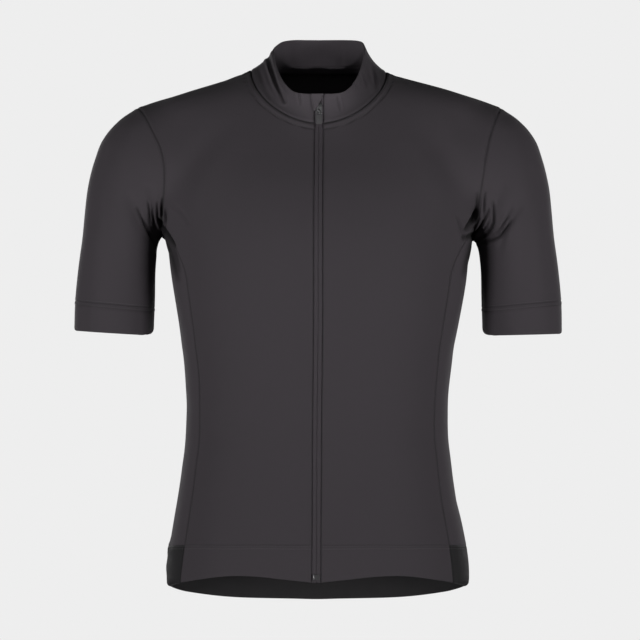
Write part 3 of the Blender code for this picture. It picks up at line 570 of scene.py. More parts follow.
    @cached_property
    def hem_back(self) -> Array:
        """The gripper band's grid, round the back from side seam to side seam."""
        steps = self.underarm_steps + self.shoulder_steps + self.neck_back_steps // 2
        band = self.hem_grid(self.side_front_angle, 180, steps)
        return np.concatenate([band, mirrored(band[:, -2::-1])], axis=1)

    @cached_property
    def collar(self) -> Array:
        """The whole collar's grid, from the left of the zip round the back to the right."""
        low = whole(np.concatenate([self.neckline[0], self.neckline[1][1:]]))
        angles = np.linspace(0, 90, 4 * self.neck_steps + 1)
        front = self.rim.read(angles).T
        front = front[front[:, 0] > self.zip_half]
        start = self.rim.rest[0].copy()
        start[0] = self.zip_half
        front = resample(np.concatenate([[start], front]), self.neck_steps)
        back = self.rim.read(np.linspace(90, 180, 4 * self.neck_back_steps + 1)).T
        back = resample(back, self.neck_back_steps // 2)
        high = whole(np.concatenate([front, back[1:]]))
        middle, width, drop = self.rim_dip
        behind = smooth_step(*self.rim_behind, high[:, 1])
        high[:, 2] -= drop * bell((high[:, 0] - middle) / width) * behind
        shares = np.linspace(0, 1, self.collar_steps + 1)[:, None, None]
        grid = low[None] * (1 - shares) + high[None] * shares
        inward = -unit(np.cross(np.gradient(low, axis=0), unit(high - low)))
        across = np.minimum(np.abs(grid[..., :1]) / self.collar_flat_half, 1)
        return grid + inward[None] * self.collar_hollow * np.sin(np.pi * shares) * across

    @cached_property
    def neck_facing(self) -> Array:
        """At the left half of the neckline, halfway between the body's cloth and the collar."""
        left = np.concatenate([self.neckline[0], self.neckline[1][1:]])
        facing = unit(self.form.outward(left) + self.grid_normals(self.collar)[0, :len(left)])
        facing[(0, -1), 0] = 0
        return unit(facing)

    @staticmethod
    def grid_normals(grid: Array) -> Array:
        """Give an open grid's outward directions."""
        return unit(np.cross(np.gradient(grid, axis=1), np.gradient(grid, axis=0)))

    @cached_property
    def collar_facing(self) -> Array:
        """The collar's directions, agreed with the body's at the neckline."""
        facing = self.grid_normals(self.collar)
        facing[0] = whole(self.neck_facing)
        facing[:, (0, -1), 0] = 0
        return unit(facing)

    @cached_property
    def facings(self) -> dict[str, Array]:
        """The directions of the front, back, side and sleeve, agreed along their seams."""
        front, back, side, sleeve = self.front, self.back, self.side, self.sleeve
        low, tip, corner = self.side_steps, self.armhole_steps, 2 * self.armhole_steps
        body = np.concatenate([
            square_step(front[low:, -1], front[low:, -2]),
            square_step(back[low:, 0], back[low:, 1])[-2::-1], square_step(side[-1], side[-2])[-2:0:-1],
        ])
        both = square_step(sleeve[-1], sleeve[-2], ring=True) + body
        skin = self.form.outward(sleeve[-1])
        both *= np.sign((both * skin).sum(-1, keepdims=True))
        ring = unit(skin * self.skin_share + both)
        made = {
            name: self.form.outward(grid)
            for name, grid in (("front", front), ("back", back), ("side", side),
                               ("sleeve", sleeve))
        }
        neck = self.neck_facing
        made["sleeve"][-1] = ring
        made["side"][-1] = np.concatenate([ring[:1], ring[:corner - 1:-1]])
        made["front"][-1, :self.neck_steps + 1] = neck[:self.neck_steps + 1]
        made["front"][low:, -1] = ring[:tip + 1]
        edge = self.shoulder_steps
        made["back"][-1, edge:-edge] = whole(neck[self.neck_steps:])
        made["back"][low:, 0] = ring[corner:tip - 1:-1]
        made["back"][low:, -1] = mirrored(ring[corner:tip - 1:-1])
        return made


class Hand(Enum):
    """The wearer's two sides."""

    LEFT = "left"
    RIGHT = "right"


RIGHT_ARMHOLE = (
    (176, -47, -160), (174.5, -56, -140), (173.5, -61, -118), (175, -58, -98),
    (178.5, -53, -84), (187, -43, -67.6), (195, -30, -53.5),
)


def cut_patterns(form: WornForm) -> dict[Hand, Pattern]:
    """Draw both hands on the left, the right one with its own armhole and cuff."""
    right = Pattern(form, armhole_points=RIGHT_ARMHOLE, cuff_end=(-292.9, 0.062))
    return {Hand.LEFT: Pattern(form), Hand.RIGHT: right}


# ---------------------------------------------------------------- creases

class Face(Enum):
    """Which side of the jersey a crease lies on."""

    FRONT = -1
    BACK = 1


class Crease(NamedTuple):
    """A soft trough along a curved line of the front or back view, with a fold beside it and painted
    shade on its floor.
    """

    face: Face
    width: float
    depth: float
    ridge: float
    painted_shade: float
    line: Outline


FRONT, BACK = Face.FRONT, Face.BACK


def troughs(face: Face, *rows: tuple) -> tuple[Crease, ...]:
    """List a face's creases, each a width, depth, ridge and painted shade on its floor, and its line's
    points.
    """
    return tuple(Crease(face, *row[:4], row[4:]) for row in rows)


def swell(width: float, rise: float, *line: tuple[float, float]) -> tuple[Crease, ...]:
    """Lift the cloth softly along a line, on the front and the back alike."""
    return tuple(Crease(face, width, -rise, 0, 0, line) for face in Face)


# the wearer's right neck side stands a little further out, on the collar and the shoulder
NECK_SWELL = swell(13, 2.4, (-62, 30), (-70, 14), (-96, 1))

# each crease row gives its width, depth and ridge, then the shade painted on its floor in place of the
# shadow that deep creases hold, then its line's points
BODY_CREASES = (
    # the deep hollows that the cloth draws into at both armpits
    *troughs(
        FRONT,
        (8, 3.2, 0, 0, (228, -140), (196, -182)),
        (7, 2.8, 0, 0, (206, -128), (190, -172)),
        (7, 2.6, 0, 0, (184, -130), (172, -172)),
        (4.4, 0.8, 0, 1.0, (176, -170), (170.5, -196), (163, -226)),
        (2.2, 3.4, 0.3, 0.9, (179, -155), (171, -168), (165, -175)),
        (2.6, 3.0, 0.2, 0.9, (161, -186), (170, -182), (185, -174)),
        (8, 2.8, 0, 0, (-214, -138), (-190, -186)),
        (7, 2.8, 0, 0, (-188, -132), (-183, -172)),
        (3.6, 0.8, 0, 0.95, (-176, -174), (-168, -204), (-159, -232)),
    ),
    *troughs(
        BACK,
        (9, 2.8, 0, 0, (224, -130), (190, -178)),
        (9, 2.8, 0, 0, (-222, -134), (-190, -180)),
        (8, 2.2, 0, 0, (182, -126), (170, -172)),
        (8, 2.2, 0, 0, (-184, -124), (-170, -172)),
    ),
    # narrow creases that run into the wearer's right armpit
    *troughs(
        FRONT,
        (1.4, 2.3, 0.35, 0.6, (-205, -151), (-195.4, -172), (-188.6, -188), (-185.4, -204)),
        (1.2, 1.9, 0.35, 0.6, (-192.5, -146), (-190, -168)),
        (1.2, 2.0, 0.35, 0.6, (-188.5, -155), (-185.5, -174)),
        (1.2, 1.9, 0.35, 0.5, (-182.6, -147), (-181, -173)),
        (1.5, 2.9, 0.35, 0.9, (-176.6, -142), (-178, -158), (-179.6, -176)),
        (1.3, 1.9, 0.35, 0.6, (-172.6, -154), (-173, -172)),
        (2.0, 4.6, 0.3, 1.0, (-181, -166), (-172.5, -178), (-163, -194)),
        (2.6, 1.6, 0.2, 0.5, (-167, -188), (-162.5, -202), (-157, -222)),
        (2.4, 1.1, 0.35, 0, (-165, -148), (-153, -158), (-144, -170)),
        # narrow creases that run into the wearer's left armpit
        (1.6, 2.4, 0.35, 0.6, (178.6, -136), (177, -155), (171.5, -169), (164, -177)),
        (1.4, 2.0, 0.35, 0.3, (186.8, -135), (185.8, -161)),
        (1.7, 2.6, 0.35, 0.6, (191, -154), (183.6, -171), (175.0, -183)),
        (1.6, 2.4, 0.35, 0.6, (195.4, -146), (196.6, -168), (192, -179), (181.0, -190)),
        (1.7, 2.1, 0.35, 0.3, (218, -152), (201.4, -179)),
        (1.8, 2.4, 0.35, 0.8, (217, -167), (202.4, -184.5), (188, -191)),
        (2.0, 2.2, 0.4, 0.3, (155.0, -162), (159.4, -174), (163.4, -186)),
        (3.0, 1.5, 0.35, 0, (228, -150), (212, -172), (205, -196)),
    ),
    # the same at the back, uneven and softer
    *troughs(
        BACK,
        (2.0, 1.8, 0.35, 0, (204, -142), (192, -166), (184, -184)),
        (1.8, 1.5, 0.35, 0, (190, -136), (184, -168)),
        (2.4, 2.0, 0.35, 0, (176, -132), (176, -154), (170, -172)),
        (2.2, 1.3, 0.35, 0, (164, -150), (158, -178), (150, -196)),
        (2.0, 1.8, 0.35, 0, (-208, -146), (-194, -170), (-187, -190)),
        (1.8, 1.6, 0.35, 0, (-187, -140), (-183, -170)),
        (2.2, 1.8, 0.35, 0, (-173, -136), (-175, -156), (-169, -176)),
        (2.4, 1.2, 0.35, 0, (-160, -154), (-152, -184), (-149, -204)),
    ),
    # long soft drags over the shoulders, down the sleeves and across the waist
    *troughs(
        FRONT,
        (13, 1.1, 0.5, 0, (118, -62), (146, -104), (163, -146)),
        (12, 1.0, 0.5, 0, (-104, -58), (-140, -98), (-161, -140)),
        (10, 1.2, 0.4, 0, (246, -110), (236, -165), (231, -228)),
        (11, 1.1, 0.4, 0, (-240, -96), (-238, -160), (-229, -220)),
        (14, 0.9, 0.5, 0, (150, -300), (118, -322), (84, -331)),
        (13, 0.8, 0.5, 0, (-152, -318), (-124, -346), (-92, -352)),
        (15, 0.8, 0.4, 0, (152, -420), (118, -404), (96, -398)),
        (14, 0.9, 0.4, 0, (-154, -432), (-130, -412), (-104, -408)),
    ),
    *troughs(
        BACK,
        (9, 3.0, 0.6, 0, (122, -74), (84, -120), (62, -196)),
        (8, 2.0, 0.6, 0, (86, -60), (58, -96), (42, -150)),
        (9, 2.6, 0.6, 0, (-108, -66), (-80, -128), (-64, -180)),
        (10, 3.4, 0.6, 0, (152, -258), (98, -296), (26, -306)),
        (8, 2.4, 0.6, 0, (140, -308), (92, -330), (48, -332)),
        (10, 3.0, 0.6, 0, (-150, -278), (-104, -318), (-40, -326)),
        (7, 2.0, 0.6, 0, (-142, -326), (-108, -348), (-74, -350)),
        (9, 1.4, 0.5, 0, (60, -350), (20, -360), (-22, -352)),
        (9, 1.8, 0.4, 0, (246, -118), (238, -180), (231, -240)),
        (8, 1.7, 0.4, 0, (-244, -104), (-233, -168), (-229, -226)),
        (7, 1.4, 0.4, 0, (218, -196), (236, -216), (254, -222)),
    ),
    # where the cloth stands a little further out on one side than on the other
    *swell(34, 3.2, (170, -500), (177, -575)),
    *swell(14, 2.2, (170, -188), (158, -296)),
    *swell(9, 3.8, (186, -160), (179, -180), (173, -206)),
    *swell(6, 2.2, (-178, -168), (-174, -196)),
    *swell(14, 1.4, (-171, -532), (-172, -546)),
    *swell(12, -2.2, (-176, -566), (-177, -590)),
    *swell(26, 1.5, (118, -12), (160, -24), (196, -34)),
    *NECK_SWELL,
)

COLLAR_CREASES = (
    *troughs(
        FRONT,
        (2.1, 2.8, 0.75, 0, (-59, 31), (-54.5, 12), (-48.5, -8), (-39, -31)),
        (1.5, 1.5, 0.6, 0, (-24, -17), (-21.6, -34)),
        (2.4, 0.8, 0.5, 0, (-68, 8), (-62, -12), (-54, -27)),
        (1.6, 0.8, 0.5, 0, (37.6, 0), (42.6, -16)),
        (1.8, 0.8, 0.5, 0, (47.6, 3), (54.4, -13)),
        (2.3, 1.0, 0.5, 0, (60.4, 12), (63.4, -4), (65.4, -19)),
        (1.5, 0.9, 0.5, 0, (21.6, -26), (24.6, -42)),
    ),
    *troughs(BACK, (3.2, 0.9, 0.5, 0, (30, 42), (26, 22)), (3.4, 0.8, 0.5, 0, (-36, 40), (-33, 20))),
    *NECK_SWELL,
)


@dataclass(frozen=True)
class Creases:
    """A set of creases and where they pass from the front to the back."""

    lines: tuple[Crease, ...]
    turn_at: float = 2.0
    turn_width: float = 5.0
    steps: int = 7
    reach: float = 4.0
    fold_at: float = 1.9
    fold_width: float = 0.9
    fading: float = 0.15

    def press(self, points: Array) -> tuple[Array, Array]:
        """Add up how far the creases press the points in and the shade painted on their floors.

        Args:
            points: Points where the cloth hangs, before the creases.

        Returns:
            Millimetres inwards, less than 0 on the folds that stand out, and the painted shade.
        """
        flat = points[..., (0, 2)]
        total, shade = (np.zeros(points.shape[:-1]) for _ in range(2))
        for crease in self.lines:
            line = resample(crease.line, self.steps)
            reach = self.reach * crease.width
            low, high = line.min(axis=0) - reach, line.max(axis=0) + reach
            near = ((flat > low) & (flat < high)).all(axis=-1)
            if not near.any():
                continue
            chosen = flat[near]
            away = away_from(chosen, line) / crease.width
            along = (line[-1] - line[0]) / np.linalg.norm(line[-1] - line[0])
            share = ((chosen - line[0]) @ along) / travelled(line)[-1]
            ends = np.sin(np.pi * np.clip(self.fading + (1 - 2 * self.fading) * share, 0, 1))
            behind = crease.face.value * (points[..., 1][near] - self.turn_at)
            here = ends / (1 + np.exp(-behind / self.turn_width))
            fold = crease.ridge * bell((away - self.fold_at) / self.fold_width)
            total[near] += crease.depth * (bell(away) - fold) * here
            # painted shade on the crease's floor, strongest along its line
            shade[near] += crease.painted_shade * bell(away) * here
        return total, np.minimum(shade, 1)


# ---------------------------------------------------------------- cloth

def linked(name: str, data: bpy.types.ID) -> Object:
    """Put a new object into the scene."""
    made = bpy.data.objects.new(name, data)
    bpy.context.scene.collection.objects.link(made)
    return made


def finished(bm: bmesh.types.BMesh, name: str) -> Mesh:
    """Turn a worked mesh into a plain one."""
    mesh = bpy.data.meshes.new(name)
    bm.to_mesh(mesh)
    bm.free()
    return mesh


class Side(Enum):
    """The four sides of a grid of cloth."""

    LEFT = "left"
    RIGHT = "right"
    BOTTOM = "bottom"
    TOP = "top"


class EdgeSizes(NamedTuple):
    """How an edge of cloth is finished: its groove, the puff beside it and the shade painted along its
    groove.
    """

    groove: float
    width: float
    puff: float
    shade: float
    turned: bool = False
    curl: float = 0.0


class EdgeStyle(Enum):
    """The ways that an edge of cloth is finished."""

    # the fourth number is the shade painted along the edge's groove
    SEAM = EdgeSizes(0.55, 1.2, 0.22, 0.48)
    NECK = EdgeSizes(0.85, 1.2, 0.30, 0.80)
    BAND = EdgeSizes(0.25, 0.9, 0.15, 0.22)
    HEM = EdgeSizes(0.20, 0.9, 0.10, 0.18)
    GRIPPED = EdgeSizes(0.0, 1.0, 0.10, 0.0, True, 6.0)
    FOLD = EdgeSizes(0.15, 1.5, 0.15, 0.42, True)
    FREE = EdgeSizes(0.0, 1.0, 0.10, 0.0, True)
    SEWN_DOWN = EdgeSizes(0.35, 1.6, 0.10, 0.50, True)


class Border(NamedTuple):
    """A stretch of a piece's edge, in coarse steps, with a raised band along it if it has one."""

    side: Side
    style: EdgeStyle
    first: float = 0
    last: float = math.inf
    band: float = 0
    rise: float = 0


class Row(NamedTuple):
    """A line on the cloth that stitches follow."""

    points: Array
    facing: Array
    closed: bool


def four_sides(*styles: EdgeStyle) -> tuple[Border, ...]:
    """Finish the left, right, bottom and top of a piece, each in one way."""
    return tuple(Border(side, style) for side, style in zip(Side, styles))


def steps(*pairs: tuple[int, float]) -> list[float]:
    """List a spacing for each coarse step, from pairs of a count and a spacing."""
    return [size for count, size in pairs for _ in range(count)]


@dataclass
class Cut:
    """A coarse grid of cloth and how finely it is drawn."""

    grid: Array
    facing: Array
    row_spacing: list[float]
    column_spacing: list[float]
    row_breaks: tuple[int, ...] = ()
    column_breaks: tuple[int, ...] = ()
    ring: bool = False
    form: Optional[WornForm] = None
    spanning: tuple[float, float] = (-75.0, -45.0)
    crowd: tuple[float, ...] = (0.15, 0.45, 0.9, 1.5, 2.3, 3.4)
    least: float = 0.3

    def marks(self, lengths: Array, spacing: Sequence[float], closed: bool) -> Array:
        """Choose where the fine lines cross the coarse steps, crowded beside both edges.

        Args:
            lengths: Mean length of each coarse step.
            spacing: Wanted distance between fine lines in each coarse step.
            closed: Whether the steps run round a ring.

        Returns:
            Rising positions in coarse steps.
        """
        places = [0.0]
        for step, (length, fine) in enumerate(zip(lengths, spacing)):
            count = max(1, round(length / fine))
            places += list(step + np.arange(1, count + 1) / count)
        if closed:
            return np.array(places)
        near = [d / lengths[0] for d in self.crowd]
        far = [len(lengths) - d / lengths[-1] for d in self.crowd]
        fixed = [0.0, *near, *reversed(far), float(len(lengths))]
        low, high = self.crowd[-1] / lengths[0], len(lengths) - self.crowd[-1] / lengths[-1]
        gap = self.crowd[-1] * self.least
        free = [p for p in places if low + gap / lengths[0] < p < high - gap / lengths[-1]]
        return np.array(sorted({*fixed, *free}))

    @staticmethod
    def along(values: Array, places: Array, breaks: Sequence[int]) -> Array:
        """Read a grid's first axis smoothly, block by block between its breaks."""
        out = np.empty((len(places), *values.shape[1:]))
        for low, high in zip(breaks, breaks[1:]):
            inside = (places >= low) & (places <= high)
            block = values[low:high + 1]
            out[inside] = through(np.arange(low, high + 1), block, places[inside])
        return out

    def refined(self) -> tuple[Array, Array, Array, Array]:
        """Draw the grid finely.

        Returns:
            The points, their outward directions, and the rows' and the columns' positions.
        """
        grid, facing = self.grid, self.facing
        if self.ring:
            grid, facing = (np.concatenate([g, g[:, :1]], axis=1) for g in (grid, facing))
        lengths = np.linalg.norm(np.diff(grid, axis=0), axis=-1).mean(axis=1)
        widths = np.linalg.norm(np.diff(grid, axis=1), axis=-1).mean(axis=0)
        rows = self.marks(lengths, self.row_spacing, False)
        columns = self.marks(widths, self.column_spacing, self.ring)
        row_breaks = (0, *self.row_breaks, len(grid) - 1)
        column_breaks = (0, *self.column_breaks, grid.shape[1] - 1)
        fine = []
        for values in (grid, facing):
            values = self.along(values, rows, row_breaks)
            values = self.along(np.swapaxes(values, 0, 1), columns, column_breaks)
            fine.append(np.swapaxes(values, 0, 1))
        points = fine[0]
        if self.form:
            share = smooth_step(*self.spanning, points[..., 2:])
            points = points * share + self.form.laid(points, 5) * (1 - share)
        return points, unit(fine[1]), rows, columns


@dataclass
class Cloth:
    """One piece of cloth: drawn finely, finished at its edges, creased and given a thickness."""

    name: str
    node: str
    cut: Cut
    thickness: float
    borders: tuple[Border, ...]
    creases: Creases
    worn: WornForm
    mirror: bool = False
    lift: Optional[Array] = None
    origin_column: float = 0.0
    deep: int = 26
    rounding: float = 0.46
    puff_at: float = 3.0
    puff_width: float = 1.4
    band_power: int = 6
    band_edge_width: float = 0.85
    band_edge_drop: float = 0.35
    band_edge_shade: float = 0.7
    curl_between: tuple[float, float] = (148.0, 168.0)
    curl_share: float = 0.8
    points: Array = field(init=False, repr=False)
    facing: Array = field(init=False, repr=False)
    outer: Array = field(init=False, repr=False)

    def __post_init__(self) -> None:
        """Draw the piece and shape both its faces."""
        self.points, self.facing, self.rows, self.columns = self.cut.refined()
        if self.lift is not None:
            self.points = self.points + self.facing * self.lifted()[..., None]
        press, self.shade = self.creases.press(self.placed(self.points))
        rise, tuck = (np.zeros(press.shape) for _ in range(2))
        radius = self.rounding * self.thickness
        for border in self.borders:
            away = self.away(border)
            size = border.style.value
            widths = away / size.width
            rise -= size.groove * bell(widths)
            rise += size.puff * bell((widths - self.puff_at) / self.puff_width)
            if border.band:
                share = np.clip(np.abs(2 * away / border.band - 1), 0, 1)
                rise += border.rise * (1 - share**self.band_power)
                # the band's lower edge dips, and painted shade marks it as a dark line where its shadow
                # falls
                edge = bell((away - border.band) / self.band_edge_width)
                rise -= self.band_edge_drop * edge
                self.shade = np.maximum(self.shade, self.band_edge_shade * edge)
            if size.turned:
                tuck = np.maximum(tuck, radius * quarter_round(np.clip(1 - away / radius, 0, 1)))
            if size.curl:
                inside = quarter_round(np.clip(1 - away / size.curl, 0, 1))
                at_side = smooth_step(*self.curl_between, np.abs(self.points[..., 0]))
                press = press + self.curl_share * size.curl * inside * at_side
            # painted shade along the edge's groove, where the seam's shadow falls
            self.shade = np.maximum(self.shade, size.shade * bell(away))
        self.outer = self.points + self.facing * (rise - press - tuck)[..., None]
        self.inner = self.points - self.facing * (self.thickness + press - tuck)[..., None]

    def lifted(self) -> Array:
        """Read the lift table, which spans the piece, at each of its points."""
        rows = np.linspace(0, len(self.lift) - 1, len(self.cut.grid))
        spread = Cut.along(self.lift, np.interp(self.rows, np.arange(len(rows)), rows),
                           (0, len(self.lift) - 1))
        at = self.columns / self.columns[-1] * (self.lift.shape[1] - 1)
        return through(np.arange(self.lift.shape[1]), spread.T, at).T

    def inward(self, side: Side, values: Array) -> Array:
        """Turn an array of the grid so that its second axis runs in from one side."""
        if side is Side.LEFT:
            return values
        if side is Side.RIGHT:
            return values[:, ::-1]
        return np.swapaxes(values if side is Side.BOTTOM else values[::-1], 0, 1)

    def chosen(self, border: Border) -> Array:
        """Tell which fine lines run in from a border."""
        at = self.rows if border.side in (Side.LEFT, Side.RIGHT) else self.columns
        return (at >= border.first - 1e-6) & (at <= border.last + 1e-6)

    def away(self, border: Border) -> Array:
        """Measure how far each point of the piece lies from a border."""
        away = np.full(self.points.shape[:2], 99.0)
        near = self.inward(border.side, self.points)[:, :self.deep]
        line = near[self.chosen(border), 0]
        view = self.inward(border.side, away)
        view[:, :self.deep] = away_from(near, line)
        return away

    def handed(self, values: Array) -> Array:
        """Turn points or directions of the left-hand drawing to the piece's own side."""
        return mirrored(values) if self.mirror else values

    def placed(self, points: Array) -> Array:
        """Put points of the left-hand drawing where the piece hangs."""
        return self.worn.swayed(self.handed(points))

    def row_beside(self, border: Border, distance: float) -> Row:
        """Follow a border on the cloth's face.

        Args:
            border: The border to follow.
            distance: How far in from it.

        Returns:
            The line, where the piece hangs.
        """
        chosen = self.chosen(border)
        away = self.inward(border.side, self.away(border))[chosen]
        points = self.inward(border.side, self.outer)[chosen]
        facing = self.inward(border.side, self.facing)[chosen]
        k = np.maximum((away >= distance).argmax(axis=1), 1)
        i = np.arange(len(k))
        share = np.clip((distance - away[i, k - 1]) / (away[i, k] - away[i, k - 1]), 0, 1)
        place = points[i, k - 1] + share[:, None] * (points[i, k] - points[i, k - 1])
        facing = self.handed(facing[i, k])
        closed = self.cut.ring and border.side in (Side.BOTTOM, Side.TOP)
        if closed:
            place, facing = place[:-1], facing[:-1]
        return Row(self.placed(place), facing, closed)

    def row_up(self, column: float, first: float, last: float) -> Row:
        """Follow one column of the cloth's face between two coarse rows."""
        at = int(np.abs(self.columns - column).argmin())
        up = (self.rows >= first) & (self.rows <= last)
        return Row(self.placed(self.outer[up, at]), self.handed(self.facing[up, at]), False)

    @property
    def flat(self) -> tuple[tuple[float, float], float]:
        """The cut's width and length and its area, in metres."""
        grid = self.points * MM
        across, up = travelled(grid, 1)[:, -1].max(), travelled(grid)[-1].max()
        a, b = grid[1:, 1:] - grid[:-1, :-1], grid[1:, :-1] - grid[:-1, 1:]
        area = np.linalg.norm(np.cross(a, b), axis=-1).sum() / 2
        sides = (max(round(float(side), 4), LEAST_FLAT) for side in (across, up))
        return tuple(sides), round(float(area), 5)

    def build(self, dress: "ClothFinish", rests_on: Sequence[str] = ()) -> Object:
        """Args:
            dress: The cloth's finish.
            rests_on: Names of the pieces that it lies on; not used.

        Returns:
            The piece.
        """
        u, v = travelled(self.outer, 1), travelled(self.outer)
        at = int(np.abs(self.columns - self.origin_column).argmin())
        u -= u[:, at:at + 1]
        made = shell(
            self.name, self.placed(self.outer), self.placed(self.inner), np.stack([u, v], -1),
            self.shade, self.cut.ring, self.mirror,
        )
        made.data.materials.append(dress.material)
        flat, area = self.flat
        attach(made, "jersey")
        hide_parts(self.node)
        LOG.info("%s: cut %.3f by %.3f m, %.4f square metres", self.name, *flat, area)
        return made


def shell(
    name: str, outer: Array, inner: Array, uv: Array, shade: Array, ring: bool = False,
    flip: bool = False,
) -> Object:
    """Close two grids into one thin wall.

    Args:
        name: The object's name.
        outer: Points of the face that shows, in millimetres.
        inner: Points of the other face.
        uv: Millimetres across and up the cloth at each point.
        shade: How much painted shade darkens each point of the outer face, in seam grooves, along band
            edges and on crease floors.
        ring: Whether the last column is the first one again.
        flip: Whether the grid was mirrored, so that its faces turn round.

    Returns:
        The object, at the origin.
    """
    rows, wide = outer.shape[:2]
    columns = wide - 1 if ring else wide
    outer, inner, shade = outer[:, :columns], inner[:, :columns], shade[:, :columns]
    r, c = (a.ravel() for a in np.mgrid[0:rows - 1, 0:wide - 1])
    corners = np.stack([[r, c], [r, c + 1], [r + 1, c + 1], [r + 1, c]]).transpose(2, 0, 1)
    back = corners[:, ::-1]
    count = rows * columns
    loops = [(corners, np.zeros(4, int)), (back, np.ones(4, int))]
    ends = [(0, True, True), (rows - 1, True, False)]
    if not ring:
        ends += [(0, False, False), (wide - 1, False, True)]
    for at, level, turn in ends:
        k = np.arange((wide if level else rows) - 1)
        a, b = (np.stack([np.full(k.shape, at), k + i] if level else
                         [k + i, np.full(k.shape, at)], -1) for i in (0, 1))
        strip = np.stack([b, a, a, b] if turn else [a, b, b, a], axis=1)
        loops.append((strip, np.array([0, 0, 1, 1])))
    index, place = [], []
    for quads, layer in loops:
        index.append(quads[..., 0] * columns + quads[..., 1] % columns + layer * count)
        place.append(uv[quads[..., 0], quads[..., 1]])
    index, place = np.concatenate(index), np.concatenate(place)
    if flip:
        index, place = index[:, ::-1], place[:, ::-1]
    points = np.concatenate([outer.reshape(-1, 3), inner.reshape(-1, 3)]) * MM
    mesh = bpy.data.meshes.new(name)
    mesh.from_pydata(points.tolist(), [], index.tolist())
    layer = mesh.uv_layers.new(name="cut")
    layer.data.foreach_set("uv", (place * MM).astype(np.float32).ravel())
    # the 'seam' attribute holds the painted shade of seam grooves, band edges and crease floors; the
    # inner face gets none
    seam = mesh.attributes.new("seam", "FLOAT", "POINT")
    values = np.concatenate([shade.ravel(), np.zeros(count)]).astype(np.float32)
    seam.data.foreach_set("value", values)
    mesh.shade_smooth()
    mesh.set_sharp_from_angle(angle=math.radians(60))
    return linked(name, mesh)


# ---------------------------------------------------------------- finishes

class Weave(Enum):
    """The small structure of a cloth."""

    KNIT = "loops in columns"
    MESH = "loops around small holes"
    RIB = "ridges"
    TWILL = "slanting threads"


class NodeGraph:
    """A tree of nodes, with short ways to add and link them."""

    tree: bpy.types.NodeTree

    def add(self, kind: str, inputs: dict, output: int = 0, **settings: object) -> Optional[Socket]:
        """Add a node.

        Args:
            kind: The node's type.
            inputs: Sockets or values for its inputs.
            output: Which output is wanted, or -1 for none.
            **settings: The node's own properties.

        Returns:
            The wanted output.
        """
        node = self.tree.nodes.new(kind)
        for name, value in settings.items():
            setattr(node, name, value)
        self.feed(node, inputs)
        return node.outputs[output] if output >= 0 else None

    def feed(self, node: bpy.types.Node, inputs: dict) -> None:
        """Link sockets to a node's inputs, or set the inputs' values."""
        for key, value in inputs.items():
            if isinstance(value, Socket):
                self.tree.links.new(value, node.inputs[key])
            else:
                node.inputs[key].default_value = value


class ShaderGraph(NodeGraph):
    """One material's nodes."""

    def __init__(self, name: str) -> None:
        """Start a material with its principled shader."""
        self.material = bpy.data.materials.new(name)
        self.material.use_nodes = True
        self.tree = self.material.node_tree
        self.shader = self.tree.nodes["Principled BSDF"]

    def math(self, operation: str, first: object, second: object = 0.0) -> Socket:
        """Add a calculation on one or two numbers."""
        return self.add("ShaderNodeMath", {0: first, 1: second}, operation=operation)

    def plus(self, first: object, second: object) -> Socket:
        """Add two numbers."""
        return self.math("ADD", first, second)

    def times(self, first: object, second: object) -> Socket:
        """Multiply two numbers."""
        return self.math("MULTIPLY", first, second)

    def wave(self, value: Socket) -> Socket:
        """Give a ridge from 0 to 1 for each whole step of a value."""
        return self.math("ABSOLUTE", self.math("SINE", self.times(value, math.pi)))

    def noise(self, scale: float, detail: float = 2.0) -> Socket:
        """Add a noise over the object, from 0 to 1."""
        where = self.add("ShaderNodeTexCoord", {}, 3)
        return self.add("ShaderNodeTexNoise", {"Vector": where, "Scale": scale, "Detail": detail})

    def tinted(self, color: Sequence[float], value: Socket) -> Socket:
        """Give a colour, made lighter or darker by a value."""
        return self.add("ShaderNodeHueSaturation", {"Color": (*color, 1.0), "Value": value})

    def bump(self, height: Socket) -> Socket:
        """Give the surface's direction under a relief, in metres."""
        return self.add("ShaderNodeBump", {"Strength": 1.0, "Distance": 1.0, "Height": height})


